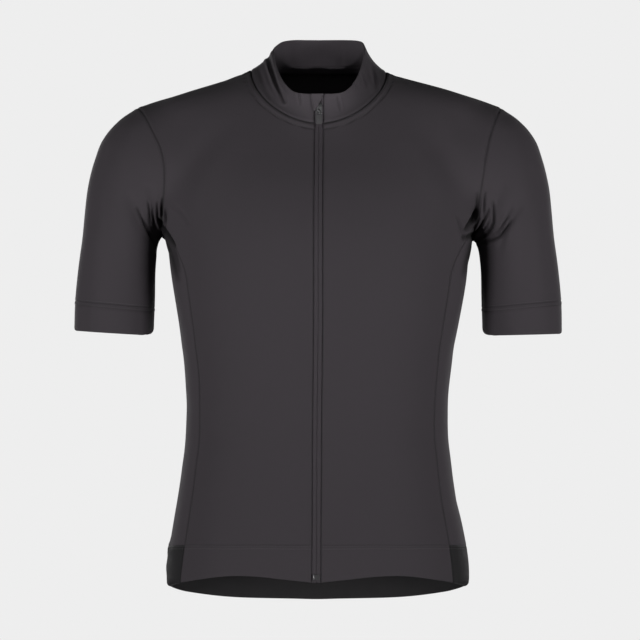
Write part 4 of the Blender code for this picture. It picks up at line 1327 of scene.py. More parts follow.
@dataclass(frozen=True)
class ClothFinish:
    """A cloth's finish: its colour, its structure and how it takes the light."""

    name: str
    slot: str
    color: tuple[float, float, float]
    weave: Weave
    across: float = 0.9
    up: float = 0.75
    relief: float = 0.05
    roughness: float = 0.88
    sheen: float = 0.04
    mottle: float = 0.10
    # how strongly the painted shade of seam grooves, band edges and crease floors darkens the colour
    painted_shade_strength: float = 0.92

    def height(self, graph: ShaderGraph) -> Socket:
        """Build the cloth's small structure, from 0 to 1."""
        where = graph.add("ShaderNodeTexCoord", {}, 2)
        size = (1 / (self.across * MM), 1 / (self.up * MM), 1.0)
        scaled = graph.add("ShaderNodeMapping", {"Vector": where, "Scale": size})
        split = graph.add("ShaderNodeSeparateXYZ", {"Vector": scaled})
        u, v = split, split.node.outputs[1]
        if self.weave is Weave.RIB:
            return graph.math("POWER", graph.wave(u), 0.6)
        if self.weave is Weave.TWILL:
            return graph.wave(graph.plus(u, v))
        ridge = graph.wave(u)
        if self.weave is Weave.MESH:
            hole = graph.times(ridge, graph.wave(v))
            return graph.math("SUBTRACT", 1.0, graph.math("POWER", hole, 3.0))
        loop = graph.wave(graph.plus(v, graph.times(ridge, 0.35)))
        return graph.times(ridge, graph.plus(0.4, graph.times(loop, 0.6)))

    @cached_property
    def material(self) -> bpy.types.Material:
        """The cloth's material."""
        graph = ShaderGraph(self.name)
        height = self.height(graph)
        mottle = graph.math("SUBTRACT", graph.noise(55, 3), 0.5)
        fleck = graph.math("SUBTRACT", graph.noise(1400, 1), 0.5)
        # the 'seam' attribute carries painted shade for seam grooves, band edges and crease floors, and
        # darkens the base colour
        seam = graph.add("ShaderNodeAttribute", {}, 2, attribute_name="seam")
        value = graph.plus(0.9, graph.times(height, 0.16))
        value = graph.plus(value, graph.times(mottle, self.mottle))
        value = graph.plus(value, graph.times(fleck, 2 * self.mottle))
        painted_shade_factor = graph.math("SUBTRACT", 1.0, graph.times(seam, self.painted_shade_strength))
        soft = graph.times(graph.noise(160, 2), 0.10 * MM)
        fine = graph.times(height, self.relief * MM)
        graph.feed(graph.shader, {
            "Base Color": graph.tinted(self.color, graph.times(value, painted_shade_factor)),
            "Roughness": graph.plus(self.roughness, graph.times(mottle, 0.12)),
            "Normal": graph.bump(graph.plus(soft, fine)),
            "Sheen Weight": self.sheen,
            "Sheen Roughness": 0.5,
            "Specular IOR Level": 0.25,
        })
        return graph.material


@dataclass(frozen=True)
class ThreadFinish:
    """Sewing thread: two plies twisted together."""

    name: str = "sewing_thread"
    slot: str = "knit"
    color: tuple[float, float, float] = (0.030, 0.028, 0.030)

    @cached_property
    def material(self) -> bpy.types.Material:
        """The thread's material."""
        graph = ShaderGraph(self.name)
        value = graph.plus(0.8, graph.times(graph.noise(2600, 1), 0.4))
        color = graph.tinted(self.color, value)
        graph.feed(graph.shader, {"Base Color": color, "Roughness": 0.6})
        return graph.material


@dataclass(frozen=True)
class MetalFinish:
    """Metal, bare or painted, with faint scuffs."""

    name: str
    color: tuple[float, float, float]
    roughness: float
    metallic: float
    slot: str = "zip_metal"

    @cached_property
    def material(self) -> bpy.types.Material:
        """The metal's material."""
        graph = ShaderGraph(self.name)
        scuff = graph.noise(900, 4)
        value = graph.plus(0.85, graph.times(scuff, 0.3))
        graph.feed(graph.shader, {
            "Base Color": graph.tinted(self.color, value),
            "Roughness": graph.plus(self.roughness - 0.1, graph.times(scuff, 0.2)),
            "Metallic": self.metallic,
            "Normal": graph.bump(graph.times(graph.noise(5000, 1), 0.01 * MM)),
        })
        return graph.material


@dataclass(frozen=True)
class Wardrobe:
    """Every finish of the jersey."""

    knit: ClothFinish = ClothFinish("charcoal_knit", "knit", (0.0437, 0.0378, 0.0435), Weave.KNIT)
    side: ClothFinish = ClothFinish(
        "side_mesh_knit", "side_knit", (0.0440, 0.0380, 0.0438), Weave.MESH, 1.6, 1.3, 0.10
    )
    gripper: ClothFinish = ClothFinish(
        "ribbed_gripper", "gripper", (0.0138, 0.0130, 0.0140), Weave.RIB, 1.5, 1.5, 0.18, 0.82
    )
    tape: ClothFinish = ClothFinish(
        "woven_tape", "tape", (0.042, 0.036, 0.042), Weave.TWILL, 0.8, 0.8, 0.05, 0.75, 0.05
    )
    thread: ThreadFinish = ThreadFinish()
    cover_thread: ThreadFinish = ThreadFinish("cover_thread", color=(0.056, 0.053, 0.057))
    body_metal: MetalFinish = MetalFinish("slider_metal", (0.13, 0.13, 0.133), 0.28, 0.9)
    pull_metal: MetalFinish = MetalFinish("pull_paint", (0.045, 0.044, 0.046), 0.5, 0.2)
    stop_metal: MetalFinish = MetalFinish("stop_metal", (0.30, 0.30, 0.31), 0.30, 0.9)


# ---------------------------------------------------------------- what repeats along a line

class RepeatSizes(NamedTuple):
    """The distance between repeats and the size of each one along, across and out."""

    pitch: float
    along: float
    across: float
    out: float


class Repeat(Enum):
    """What can repeat along a line on the cloth."""

    TOPSTITCH = RepeatSizes(2.6, 2.2, 0.42, 0.34)
    COVERSTITCH = RepeatSizes(2.9, 2.5, 0.46, 0.36)
    COIL = RepeatSizes(1.3, 0.62, 3.0, 0.8)


class LineRepeater(NodeGraph):
    """A Geometry Nodes tree that lays small rounded bars along lines."""

    def __init__(self, seed: int = 7) -> None:
        """Build the tree with named inputs and a fixed seed."""
        self.tree = bpy.data.node_groups.new("bars_along_lines", "GeometryNodeTree")
        sockets = self.tree.interface.new_socket
        sockets("Lines", in_out="INPUT", socket_type="NodeSocketGeometry")
        self.inputs = {
            name: sockets(name, in_out="INPUT", socket_type="NodeSocketFloat").identifier
            for name in ("Pitch", "Along", "Across", "Out")
        }
        self.inputs["Finish"] = sockets(
            "Finish", in_out="INPUT", socket_type="NodeSocketMaterial"
        ).identifier
        sockets("Bars", in_out="OUTPUT", socket_type="NodeSocketGeometry")
        given = self.tree.nodes.new("NodeGroupInput")
        curve = self.add("GeometryNodeMeshToCurve", {0: given.outputs["Lines"]})
        even = self.add(
            "GeometryNodeResampleCurve", {"Curve": curve, "Length": given.outputs["Pitch"]},
            mode="LENGTH",
        )
        size = self.add("ShaderNodeCombineXYZ", {
            "X": given.outputs["Along"], "Y": given.outputs["Across"], "Z": given.outputs["Out"],
        })
        bar = self.add("GeometryNodeMeshUVSphere", {"Segments": 6, "Rings": 4, "Radius": 0.5})
        tangent = self.add("GeometryNodeInputTangent", {})
        facing = self.add("GeometryNodeInputNamedAttribute", {"Name": "facing"}, data_type="FLOAT_VECTOR")
        turn = self.add("FunctionNodeAlignRotationToVector", {"Vector": tangent}, axis="X")
        turn = self.add(
            "FunctionNodeAlignRotationToVector", {"Rotation": turn, "Vector": facing},
            axis="Z", pivot_axis="X",
        )
        wobble = self.add(
            "FunctionNodeRandomValue", {"Min": 0.9, "Max": 1.1, "Seed": seed}, 1,
            data_type="FLOAT",
        )
        varied = self.add("ShaderNodeVectorMath", {0: size, "Scale": wobble}, operation="SCALE")
        bars = self.add("GeometryNodeInstanceOnPoints", {
            "Points": even, "Instance": bar, "Rotation": turn, "Scale": varied,
        })
        real = self.add("GeometryNodeRealizeInstances", {"Geometry": bars})
        smooth = self.add("GeometryNodeSetShadeSmooth", {"Geometry": real})
        dressed = self.add("GeometryNodeSetMaterial", {
            "Geometry": smooth, "Material": given.outputs["Finish"],
        })
        self.add("NodeGroupOutput", {0: dressed}, -1)

    def lay(
        self, name: str, kind: Repeat, rows: Sequence[Row],
        finish: Union[ThreadFinish, ClothFinish], body: str = "jersey",
    ) -> Object:
        """Lay bars along rows and make them one plain mesh.

        Args:
            name: The piece's name.
            kind: What repeats.
            rows: The lines to follow.
            finish: Its finish.
            body: The body that it rides on.

        Returns:
            The piece.
        """
        points, facing, edges = [], [], []
        for row in rows:
            base, count = sum(map(len, points)), len(row.points)
            points.append(row.points)
            facing.append(row.facing)
            edges += [(base + k, base + k + 1) for k in range(count - 1)]
            if row.closed:
                edges.append((base + count - 1, base))
        mesh = bpy.data.meshes.new(f"{name}_lines")
        mesh.from_pydata((np.concatenate(points) * MM).tolist(), edges, [])
        layer = mesh.attributes.new("facing", "FLOAT_VECTOR", "POINT")
        layer.data.foreach_set("vector", np.concatenate(facing).astype(np.float32).ravel())
        guide = linked(f"{name}_lines", mesh)
        modifier = guide.modifiers.new("bars", "NODES")
        modifier.node_group = self.tree
        for identifier, size in zip(self.inputs.values(), kind.value):
            modifier[identifier] = size * MM
        modifier[self.inputs["Finish"]] = finish.material
        depsgraph = bpy.context.evaluated_depsgraph_get()
        made_mesh = bpy.data.meshes.new_from_object(guide.evaluated_get(depsgraph))
        guide.modifiers.clear()
        bpy.data.objects.remove(guide)
        made = linked(name, made_mesh)
        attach(made, body)
        LOG.info("%s: %d faces", name, len(made_mesh.polygons))
        return made


# ---------------------------------------------------------------- the body of the jersey

@dataclass
class Bodice:
    """The fronts, the back and the side panels."""

    patterns: dict[Hand, Pattern]
    wardrobe: Wardrobe
    cloth: float = 1.2
    neck_band: float = 8.0
    neck_band_rise: float = 0.9
    seam_stitch: float = 1.7
    zip_stitch: float = 1.6
    band_stitches: tuple[float, float] = (1.5, 7.2)
    front: dict[Hand, Cloth] = field(init=False)
    side: dict[Hand, Cloth] = field(init=False)
    back: Cloth = field(init=False)

    def __post_init__(self) -> None:
        """Cut the five panels."""
        p = self.patterns[Hand.LEFT]
        creases = Creases(BODY_CREASES)
        neck, seam = p.neck_steps, EdgeStyle.SEAM
        rows = steps((5, 6.0), (3, 4.0), (5, 1.9), (4, 1.8), (4, 2.4), (4, 3.0), (1, 1.0))
        self.front_borders = (
            Border(Side.LEFT, EdgeStyle.FOLD),
            Border(Side.RIGHT, seam, 0, p.side_steps),
            Border(Side.RIGHT, seam, p.side_steps),
            Border(Side.BOTTOM, EdgeStyle.HEM),
            Border(Side.TOP, EdgeStyle.NECK, 0, neck, self.neck_band, self.neck_band_rise),
            Border(Side.TOP, seam, neck),
        )
        self.side_borders = four_sides(seam, seam, EdgeStyle.HEM, seam)
        edge, middle = p.shoulder_steps, p.shoulder_steps + p.neck_back_steps // 2
        facing = p.facings["back"].copy()
        right_ring = self.patterns[Hand.RIGHT].facings["back"][p.side_steps:, 0]
        facing[p.side_steps:, -1] = mirrored(right_ring)
        back_cut = Cut(
            p.back, facing, rows, steps((4, 2.0), (3, 3.0), (10, 4.0), (3, 3.0), (4, 2.0)),
            (p.side_steps,), (edge, middle, 2 * middle - edge), form=p.form,
        )
        self.back_borders = (
            Border(Side.LEFT, seam), Border(Side.RIGHT, seam),
            Border(Side.BOTTOM, EdgeStyle.HEM),
            Border(Side.TOP, seam, 0, edge), Border(Side.TOP, seam, 2 * middle - edge),
            Border(
                Side.TOP, EdgeStyle.NECK, edge, 2 * middle - edge, self.neck_band,
                self.neck_band_rise,
            ),
        )
        self.front, self.side = {}, {}
        for hand, drawn in self.patterns.items():
            front_cut = Cut(
                drawn.front, drawn.facings["front"], rows, steps((9, 4.5), (2, 3.0), (4, 1.3)),
                (p.side_steps,), (neck,), form=p.form,
            )
            self.front[hand] = Cloth(
                f"front_panel_{hand.value}", f"front_{hand.value}", front_cut, self.cloth,
                self.front_borders, creases, p.form, hand is Hand.RIGHT,
            )
            side_cut = Cut(
                drawn.side, drawn.facings["side"], rows[:p.side_steps],
                steps((2, 2.4), (4, 3.2), (2, 2.4)), form=p.form,
            )
            self.side[hand] = Cloth(
                f"side_panel_{hand.value}", f"side_{hand.value}", side_cut, self.cloth,
                self.side_borders, creases, p.form, hand is Hand.RIGHT,
            )
        self.back = Cloth(
            "back_panel", "back", back_cut, self.cloth, self.back_borders, creases, p.form,
            origin_column=middle,
        )

    def build(self) -> None:
        """Make the five panels."""
        for piece in self.front.values():
            piece.build(self.wardrobe.knit)
        for piece in self.side.values():
            piece.build(self.wardrobe.side)
        self.back.build(self.wardrobe.knit)

    def stitches(self) -> dict[str, list[Row]]:
        """List the rows of stitches on the panels.

        Returns:
            The rows by the name of their piece.
        """
        rows = {"side_seam": [], "armhole": [], "neck_band": [], "zip_edge": []}
        beside = self.seam_stitch
        zip_edge, side, armhole, _, neck, _ = self.front_borders
        for piece in self.front.values():
            rows["zip_edge"].append(piece.row_beside(zip_edge, self.zip_stitch))
            rows["side_seam"].append(piece.row_beside(side, beside))
            rows["armhole"].append(piece.row_beside(armhole, beside))
            rows["neck_band"] += [piece.row_beside(neck, far) for far in self.band_stitches]
        left, right, _, top = self.side_borders
        for piece in self.side.values():
            rows["side_seam"] += [piece.row_beside(edge, beside) for edge in (left, right)]
            rows["armhole"].append(piece.row_beside(top, beside))
        left, right, *_, neck = self.back_borders
        rows["side_seam"] += [self.back.row_beside(edge, beside) for edge in (left, right)]
        rows["neck_band"] += [self.back.row_beside(neck, far) for far in self.band_stitches]
        return rows


@dataclass
class Sleeves:
    """Both sleeves and their cuff bands."""

    patterns: dict[Hand, Pattern]
    wardrobe: Wardrobe
    cloth: float = 1.2
    band: float = 1.8
    turn_up: float = 4.4
    armhole_stitch: float = 1.7
    cuff_stitches: tuple[float, float] = (1.6, 3.5)
    sleeve: dict[Hand, Cloth] = field(init=False)
    cuff: dict[Hand, Cloth] = field(init=False)

    def __post_init__(self) -> None:
        """Cut the sleeves and the cuffs."""
        creases = Creases(BODY_CREASES)
        around = steps((4, 1.4), (7, 2.2), (2, 2.6), (2, 2.6), (7, 2.2), (4, 1.6), (8, 1.8))
        self.sleeve_borders = (Border(Side.BOTTOM, EdgeStyle.BAND), Border(Side.TOP, EdgeStyle.SEAM))
        self.cuff_borders = (
            Border(Side.BOTTOM, EdgeStyle.FREE),
            Border(Side.TOP, EdgeStyle.BAND, 0, math.inf, self.turn_up, 0.3),
        )
        self.sleeve, self.cuff = {}, {}
        for hand, p in self.patterns.items():
            breaks = (p.armhole_steps, 2 * p.armhole_steps)
            sleeve_cut = Cut(
                p.sleeve, p.facings["sleeve"], steps((5, 3.4), (3, 2.6), (3, 1.9)), around, (),
                breaks, True, p.form,
            )
            cuff_cut = Cut(
                p.cuff, p.form.outward(p.cuff), steps((2, 2.6)), around, (), breaks, True, p.form
            )
            shared = (creases, p.form, hand is Hand.RIGHT)
            self.sleeve[hand] = Cloth(
                f"sleeve_cloth_{hand.value}", f"sleeve_{hand.value}", sleeve_cut, self.cloth,
                self.sleeve_borders, *shared, origin_column=p.armhole_steps,
            )
            self.cuff[hand] = Cloth(
                f"cuff_band_{hand.value}", f"cuff_{hand.value}", cuff_cut, self.band,
                self.cuff_borders, *shared, origin_column=p.armhole_steps,
            )

    def build(self) -> None:
        """Make the sleeves and the cuffs."""
        for piece in (*self.sleeve.values(), *self.cuff.values()):
            piece.build(self.wardrobe.knit)

    def stitches(self) -> dict[str, list[Row]]:
        """List the rows of stitches on the sleeves."""
        above, below = self.cuff_stitches
        bottom, top = self.sleeve_borders
        rows = {"armhole": [], "cuff": []}
        for piece in self.sleeve.values():
            rows["armhole"].append(piece.row_beside(top, self.armhole_stitch))
            rows["cuff"].append(piece.row_beside(bottom, above))
        rows["cuff"] += [piece.row_beside(self.cuff_borders[1], below) for piece in self.cuff.values()]
        return rows


@dataclass
class Hems:
    """The hem band: plain at the front, ribbed and gripping round the back."""

    pattern: Pattern
    wardrobe: Wardrobe
    band: float = 1.8
    stitches_in: tuple[float, float] = (1.0, 4.1)

    def __post_init__(self) -> None:
        """Cut the three lengths of the band."""
        p = self.pattern
        creases = Creases(BODY_CREASES)
        front_cut, back_cut = (
            Cut(
                grid, p.form.outward(grid), steps((2, 3.6)), steps((grid.shape[1] - 1, fine)),
                form=p.form,
            )
            for grid, fine in ((p.hem_front, 3.2), (p.hem_back, 3.6))
        )
        seam, rest = EdgeStyle.SEAM, (EdgeStyle.GRIPPED, EdgeStyle.HEM)
        self.front_borders = four_sides(EdgeStyle.FOLD, seam, *rest)
        self.back_borders = four_sides(seam, seam, *rest)
        self.front = {
            hand: Cloth(
                f"hem_band_{hand.value}", f"hem_{hand.value}", front_cut, self.band,
                self.front_borders, creases, p.form, hand is Hand.RIGHT,
            )
            for hand in Hand
        }
        self.back = Cloth(
            "hem_gripper_band", "hem_gripper", back_cut, self.band, self.back_borders,
            creases, p.form, origin_column=(p.hem_back.shape[1] - 1) / 2,
        )

    def build(self) -> None:
        """Make the three lengths of the band."""
        for piece in self.front.values():
            piece.build(self.wardrobe.knit)
        self.back.build(self.wardrobe.gripper)

    def stitches(self) -> dict[str, list[Row]]:
        """List the rows of stitches on the band, two below its upper edge."""
        bands = [(piece, self.front_borders[3]) for piece in self.front.values()]
        bands.append((self.back, self.back_borders[3]))
        return {"hem": [
            piece.row_beside(border, distance) for piece, border in bands
            for distance in self.stitches_in
        ]}


@dataclass
class Collar:
    """The stand-up collar and the tape that covers the neck seam inside it."""

    pattern: Pattern
    wardrobe: Wardrobe
    cloth: float = 1.7
    tape_rows: tuple[float, float, float] = (0.2, 1.0, 1.35)
    tape_cloth: float = 1.0
    tape_clearance: float = 0.9
    rim_stitch: float = 5.0
    zip_stitch: float = 1.6

    def __post_init__(self) -> None:
        """Cut the collar and its tape."""
        p = self.pattern
        half = p.neck_steps + p.neck_back_steps // 2
        breaks = (p.neck_steps, half, 2 * half - p.neck_steps)
        across = steps((9, 1.1), (12, 2.4), (9, 1.1))
        cut = Cut(p.collar, p.collar_facing, steps((6, 1.5)), across, (), breaks)
        fold, free = EdgeStyle.FOLD, EdgeStyle.FREE
        self.borders = four_sides(fold, fold, EdgeStyle.NECK, free)
        self.collar = Cloth(
            "collar_cloth", "collar", cut, self.cloth, self.borders,
            Creases(COLLAR_CREASES, 18.0, 4.0), p.form, origin_column=half,
        )
        inside = slice(p.neck_steps, -p.neck_steps)
        lining = (p.collar - p.collar_facing * self.cloth)[:, inside]
        low = [math.floor(row) for row in self.tape_rows]
        mix = np.array(self.tape_rows) - low
        grid = np.stack([
            lining[row] * (1 - share) + lining[row + 1] * share for row, share in zip(low, mix)
        ])
        way = p.collar_facing[:len(low), inside]
        tape_cut = Cut(
            grid - way * self.tape_clearance, way, steps((2, 1.8)), steps((grid.shape[1] - 1, 3.0)),
        )
        self.tape = Cloth(
            "neck_tape_cloth", "neck_tape", tape_cut, self.tape_cloth, four_sides(*[free] * 4),
            Creases(()), p.form,
        )

    def build(self) -> None:
        """Make the collar and its tape."""
        self.collar.build(self.wardrobe.knit)
        self.tape.build(self.wardrobe.tape, ["collar_cloth"])

    def stitches(self) -> dict[str, list[Row]]:
        """List the rows of stitches on the collar."""
        left, right, _, top = self.borders
        places = ((top, self.rim_stitch), (left, self.zip_stitch), (right, self.zip_stitch))
        return {"collar": [self.collar.row_beside(*place) for place in places]}


@dataclass
class Pockets:
    """Three pockets in one panel on the lower back, with a bound mouth."""

    pattern: Pattern
    wardrobe: Wardrobe
    rows: int = 5
    inset: int = 2
    gape: float = 2.6
    clearance: float = 0.4
    cloth: float = 1.2
    mouth: float = 9.0
    count: int = 3
    edge_stitch: float = 2.0
    mouth_stitch: float = 7.6
    divider_half: float = 0.1
    lift_grid: tuple[int, int] = (41, 121)
    roundness: float = 0.8
    belly: float = 0.5
    play: float = 0.1

    def __post_init__(self) -> None:
        """Cut the panel from the lower back's own grid."""
        p = self.pattern
        grid = p.back[:self.rows + 1, self.inset:-self.inset]
        facing = p.form.outward(grid)
        tall, wide = self.lift_grid
        up = np.linspace(0, 1, tall)
        across = np.abs(np.sin(np.linspace(0, self.count * np.pi, wide))) ** self.roundness
        full = (self.gape - self.clearance) * up**2 + self.belly * np.sin(np.pi * up) ** 2
        lift = self.clearance + self.cloth + self.play + full[:, None] * across[None]
        cut = Cut(grid, facing, steps((self.rows, 4.0)), steps((grid.shape[1] - 1, 3.6)), form=p.form)
        down = EdgeStyle.SEWN_DOWN
        self.borders = (
            Border(Side.LEFT, down), Border(Side.RIGHT, down), Border(Side.BOTTOM, down),
            Border(Side.TOP, EdgeStyle.FREE, 0, math.inf, self.mouth, 0.4),
        )
        self.panel = Cloth(
            "pocket_panel", "back_pockets", cut, self.cloth, self.borders,
            Creases(BODY_CREASES), p.form, lift=lift, origin_column=(grid.shape[1] - 1) / 2,
        )

    def build(self) -> None:
        """Make the panel."""
        self.panel.build(self.wardrobe.knit, ["back_panel"])

    def stitches(self) -> dict[str, list[Row]]:
        """List the rows that sew the panel down, divide it and hold the binding."""
        last = self.panel.columns[-1]
        rows = [self.panel.row_beside(border, self.edge_stitch) for border in self.borders[:3]]
        rows += [
            self.panel.row_up(last * k / self.count + shift, 0, self.rows)
            for k in range(1, self.count) for shift in (-self.divider_half, self.divider_half)
        ]
        rows.append(self.panel.row_beside(self.borders[3], self.mouth_stitch))
        return {"pocket": rows}


# ---------------------------------------------------------------- the zip

def joined(name: str, parts: Sequence[Mesh]) -> Mesh:
    """Join meshes into one.

    Args:
        name: The new mesh's name.
        parts: The meshes, which are removed.

    Returns:
        The mesh.
    """
    bm = bmesh.new()
    for part in parts:
        bm.from_mesh(part)
        bpy.data.meshes.remove(part)
    return finished(bm, name)


def plate(outline: Outline, low: float, high: float, bevel: float) -> Mesh:
    """Make a flat plate with rounded edges.

    Args:
        outline: Its outline across and up, counter-clockwise as seen from outside.
        low: How far out its lower face lies.
        high: How far out its upper face lies.
        bevel: The rounding of its edges.

    Returns:
        The mesh, in millimetres, with -Y out.
    """
    bm = bmesh.new()
    rings = [[bm.verts.new((x, -out, z)) for x, z in outline] for out in (low, high)]
    count = len(outline)
    bm.faces.new(rings[1])
    bm.faces.new(reversed(rings[0]))
    for k in range(count):
        n = (k + 1) % count
        bm.faces.new((rings[0][k], rings[0][n], rings[1][n], rings[1][k]))
    bmesh.ops.recalc_face_normals(bm, faces=bm.faces)
    rims = [e for e in bm.edges if abs(e.verts[0].co.y - e.verts[1].co.y) < 1e-6]
    bmesh.ops.bevel(
        bm, geom=rims, offset=bevel, segments=3, profile=0.5, affect="EDGES", clamp_overlap=True
    )
    return finished(bm, "plate")


def swept(path: Outline, half_width: float, half_thick: float) -> Mesh:
    """Sweep a rounded flat bar along a path in the plane of the zip's length.

    Args:
        path: Points as (out, up).
        half_width: Half of its width across the zip.
        half_thick: Half of its thickness.

    Returns:
        The mesh, in millimetres, with -Y out.
    """
    line = resample(path, 20)
    along = unit(np.gradient(line, axis=0))
    side = np.stack([-along[:, 1], along[:, 0]], axis=-1)
    turns = np.linspace(0, 2 * np.pi, 16, endpoint=False)
    wide = np.sign(np.cos(turns)) * np.abs(np.cos(turns)) ** 0.5
    thick = np.sign(np.sin(turns)) * np.abs(np.sin(turns)) ** 0.5
    bm = bmesh.new()
    rings = []
    for point, way in zip(line, side):
        place = point[None] + way[None] * (thick * half_thick)[:, None]
        rings.append([bm.verts.new((x * half_width, -out, z)) for x, (out, z) in zip(wide, place)])
    for a, b in zip(rings, rings[1:]):
        for k in range(len(turns)):
            n = (k + 1) % len(turns)
            bm.faces.new((a[k], a[n], b[n], b[k]))
    bm.faces.new(rings[0])
    bm.faces.new(rings[-1])
    bmesh.ops.recalc_face_normals(bm, faces=bm.faces)
    return finished(bm, "bar")


def rounded_outline(corners: Sequence[tuple[float, float, float]], per_corner: int = 6) -> list:
    """Round the corners of an outline.

    Args:
        corners: Each corner's place and the radius of its rounding.
        per_corner: Points on each rounding.

    Returns:
        The outline's points.
    """
    out = []
    count = len(corners)
    for k, (x, z, radius) in enumerate(corners):
        here = np.array([x, z])
        before = unit(np.array(corners[k - 1][:2]) - here)
        after = unit(np.array(corners[(k + 1) % count][:2]) - here)
        for t in np.linspace(0, 1, per_corner):
            a, b = here + before * radius * (1 - t), here + after * radius * t
            out.append(tuple(a * (1 - t) + b * t))
    return out


@dataclass
class Zip:
    """The zip: two tapes with their coils, the slider with its pull, the end box and the flap."""

    pattern: Pattern
    wardrobe: Wardrobe
    bodice: Bodice
    hems: Hems
    collar: Collar
    slider_height: float = -40.0
    slider_half_length: float = 6.5
    parts_by: float = 1.2
    box_height: float = -562.0
    tape_cloth: float = 0.6
    sunk: float = 0.5
    pull_at: float = -3.5
    pull_out: float = 2.0
    coil_at: float = 1.35
    coil_depth: float = 1.75
    profile: tuple[tuple[float, float], ...] = (
        (0.14, 1.05), (0.2, 0.8), (0.42, 0.6), (0.9, 0.5), (2.2, 0.46), (3.6, 0.5), (4.2, 0.62),
        (4.7, 1.0), (5.2, 1.45), (6.2, 1.65), (7.6, 1.8),
    )
    flap_drop: float = 19.5
    flap_below_top: float = 0.5
    flap_left: tuple[float, ...] = (-6.0, -6.9, -7.7, -8.4, -9.0)
    flap_right: tuple[float, ...] = (-4.2, -1.6, 0.8, 3.2, 5.5)
    flap_out: float = 2.4
    flap_cloth: float = 0.9
    flap_bow: float = 0.5
    flap_stitch: float = 1.3
    tape_bend: float = 1.15
    parting: tuple[float, float] = (-14.0, 4.0)
    leaning: tuple[float, float] = (1.5, 4.2)
    coil_start: float = 4.0
    coil_step: float = 2.5
    samples: int = 260
    smoothing: int = 7

    def __post_init__(self) -> None:
        """Follow the edge of the left side up to the top of the collar."""
        pieces = (self.hems.front[Hand.LEFT], self.bodice.front[Hand.LEFT], self.collar.collar)
        lines = [piece.points[:, 0] for piece in pieces]
        path = np.concatenate([lines[0], lines[1][1:], lines[2][1:]])
        heights = np.linspace(path[0, 2], path[-1, 2], self.samples)
        y = np.interp(heights, path[:, 2], path[:, 1])
        kernel = np.ones(self.smoothing) / self.smoothing
        y = np.convolve(np.pad(y, self.smoothing // 2, mode="edge"), kernel, mode="valid")
        self.path = np.stack([np.zeros(len(y)), y, heights], axis=-1)
        along = unit(np.gradient(self.path, axis=0))
        self.facing = np.stack([np.zeros(len(y)), -along[:, 2], along[:, 1]], axis=-1)

    def at(self, heights: Array) -> tuple[Array, Array]:
        """Find the zip's middle and the way that it faces at given heights."""
        place, facing = (
            np.stack([np.interp(heights, self.path[:, 2], line[:, k]) for k in range(3)], axis=-1)
            for line in (self.path, self.facing)
        )
        return place, unit(facing)

    def frame(self, height: float) -> Matrix:
        """Give the place and turn of a hard piece on the zip."""
        place, face = self.at(np.array(height))
        turn = math.atan2(-face[2], -face[1])
        where = Vector(self.pattern.form.swayed(place)) * MM
        return Matrix.Translation(where) @ Matrix.Rotation(turn, 4, "X")

    def tapes(self) -> None:
        """Make both tapes, parting under the slider."""
        across, depth = np.array(self.profile).T
        parted = smooth_step(*self.parting, self.path[:, 2] - self.slider_height)
        lean = self.parts_by * parted[:, None] * (1 - smooth_step(*self.leaning, across))[None]
        up = travelled(self.path)
        uv = np.stack(np.meshgrid(across, up), axis=-1)
        for hand in Hand:
            outer = np.repeat(self.path[:, None], len(across), axis=1)
            outer[..., 0] = across[None] + lean
            outer = outer - self.facing[:, None] * depth[None, :, None]
            inner = outer - self.facing[:, None] * self.tape_cloth
            if hand is Hand.RIGHT:
                outer, inner = mirrored(outer), mirrored(inner)
            swayed = self.pattern.form.swayed
            made = shell(
                f"zip_tape_cloth_{hand.value}", swayed(outer), swayed(inner), uv,
                np.zeros(outer.shape[:2]), flip=hand is Hand.RIGHT,
            )
            dress = self.wardrobe.tape
            made.data.materials.append(dress.material)
            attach(made, "jersey")
            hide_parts(f"zip_tape_{hand.value}")

    def coils(self, repeater: LineRepeater) -> None:
        """Lay the coils behind the tapes."""
        rows = []
        for sign, start in ((1, 0.0), (-1, 0.5)):
            heights = np.arange(
                self.path[0, 2] + self.coil_start + start * Repeat.COIL.value.pitch,
                self.slider_height - self.slider_half_length, self.coil_step,
            )
            place, facing = self.at(heights)
            place = place - facing * self.coil_depth
            place[:, 0] = sign * self.coil_at
            rows.append(Row(self.pattern.form.swayed(place), facing, False))
        repeater.lay("zip_coils", Repeat.COIL, rows, self.wardrobe.tape)

    def place_hard(
        self, name: str, node: Optional[str], parts: Sequence[Mesh], matrix: Matrix,
        finish: MetalFinish, body: str = "jersey",
    ) -> Object:
        """Join the parts of a hard piece and put it on the zip.

        Args:
            name: The piece's name.
            node: The solid that it stands for, if it stands for one.
            parts: Its meshes, in millimetres.
            matrix: Its place and turn.
            finish: Its finish.
            body: The body that it rides on.

        Returns:
            The piece.
        """
        mesh = joined(name, parts)
        mesh.transform(matrix @ Matrix.Scale(MM, 4))
        mesh.shade_smooth()
        mesh.set_sharp_from_angle(angle=math.radians(50))
        mesh.materials.append(finish.material)
        made = linked(name, mesh)
        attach(made, body)
        if node:
            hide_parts(node)
        LOG.info("%s: %d faces", name, len(mesh.polygons))
        return made

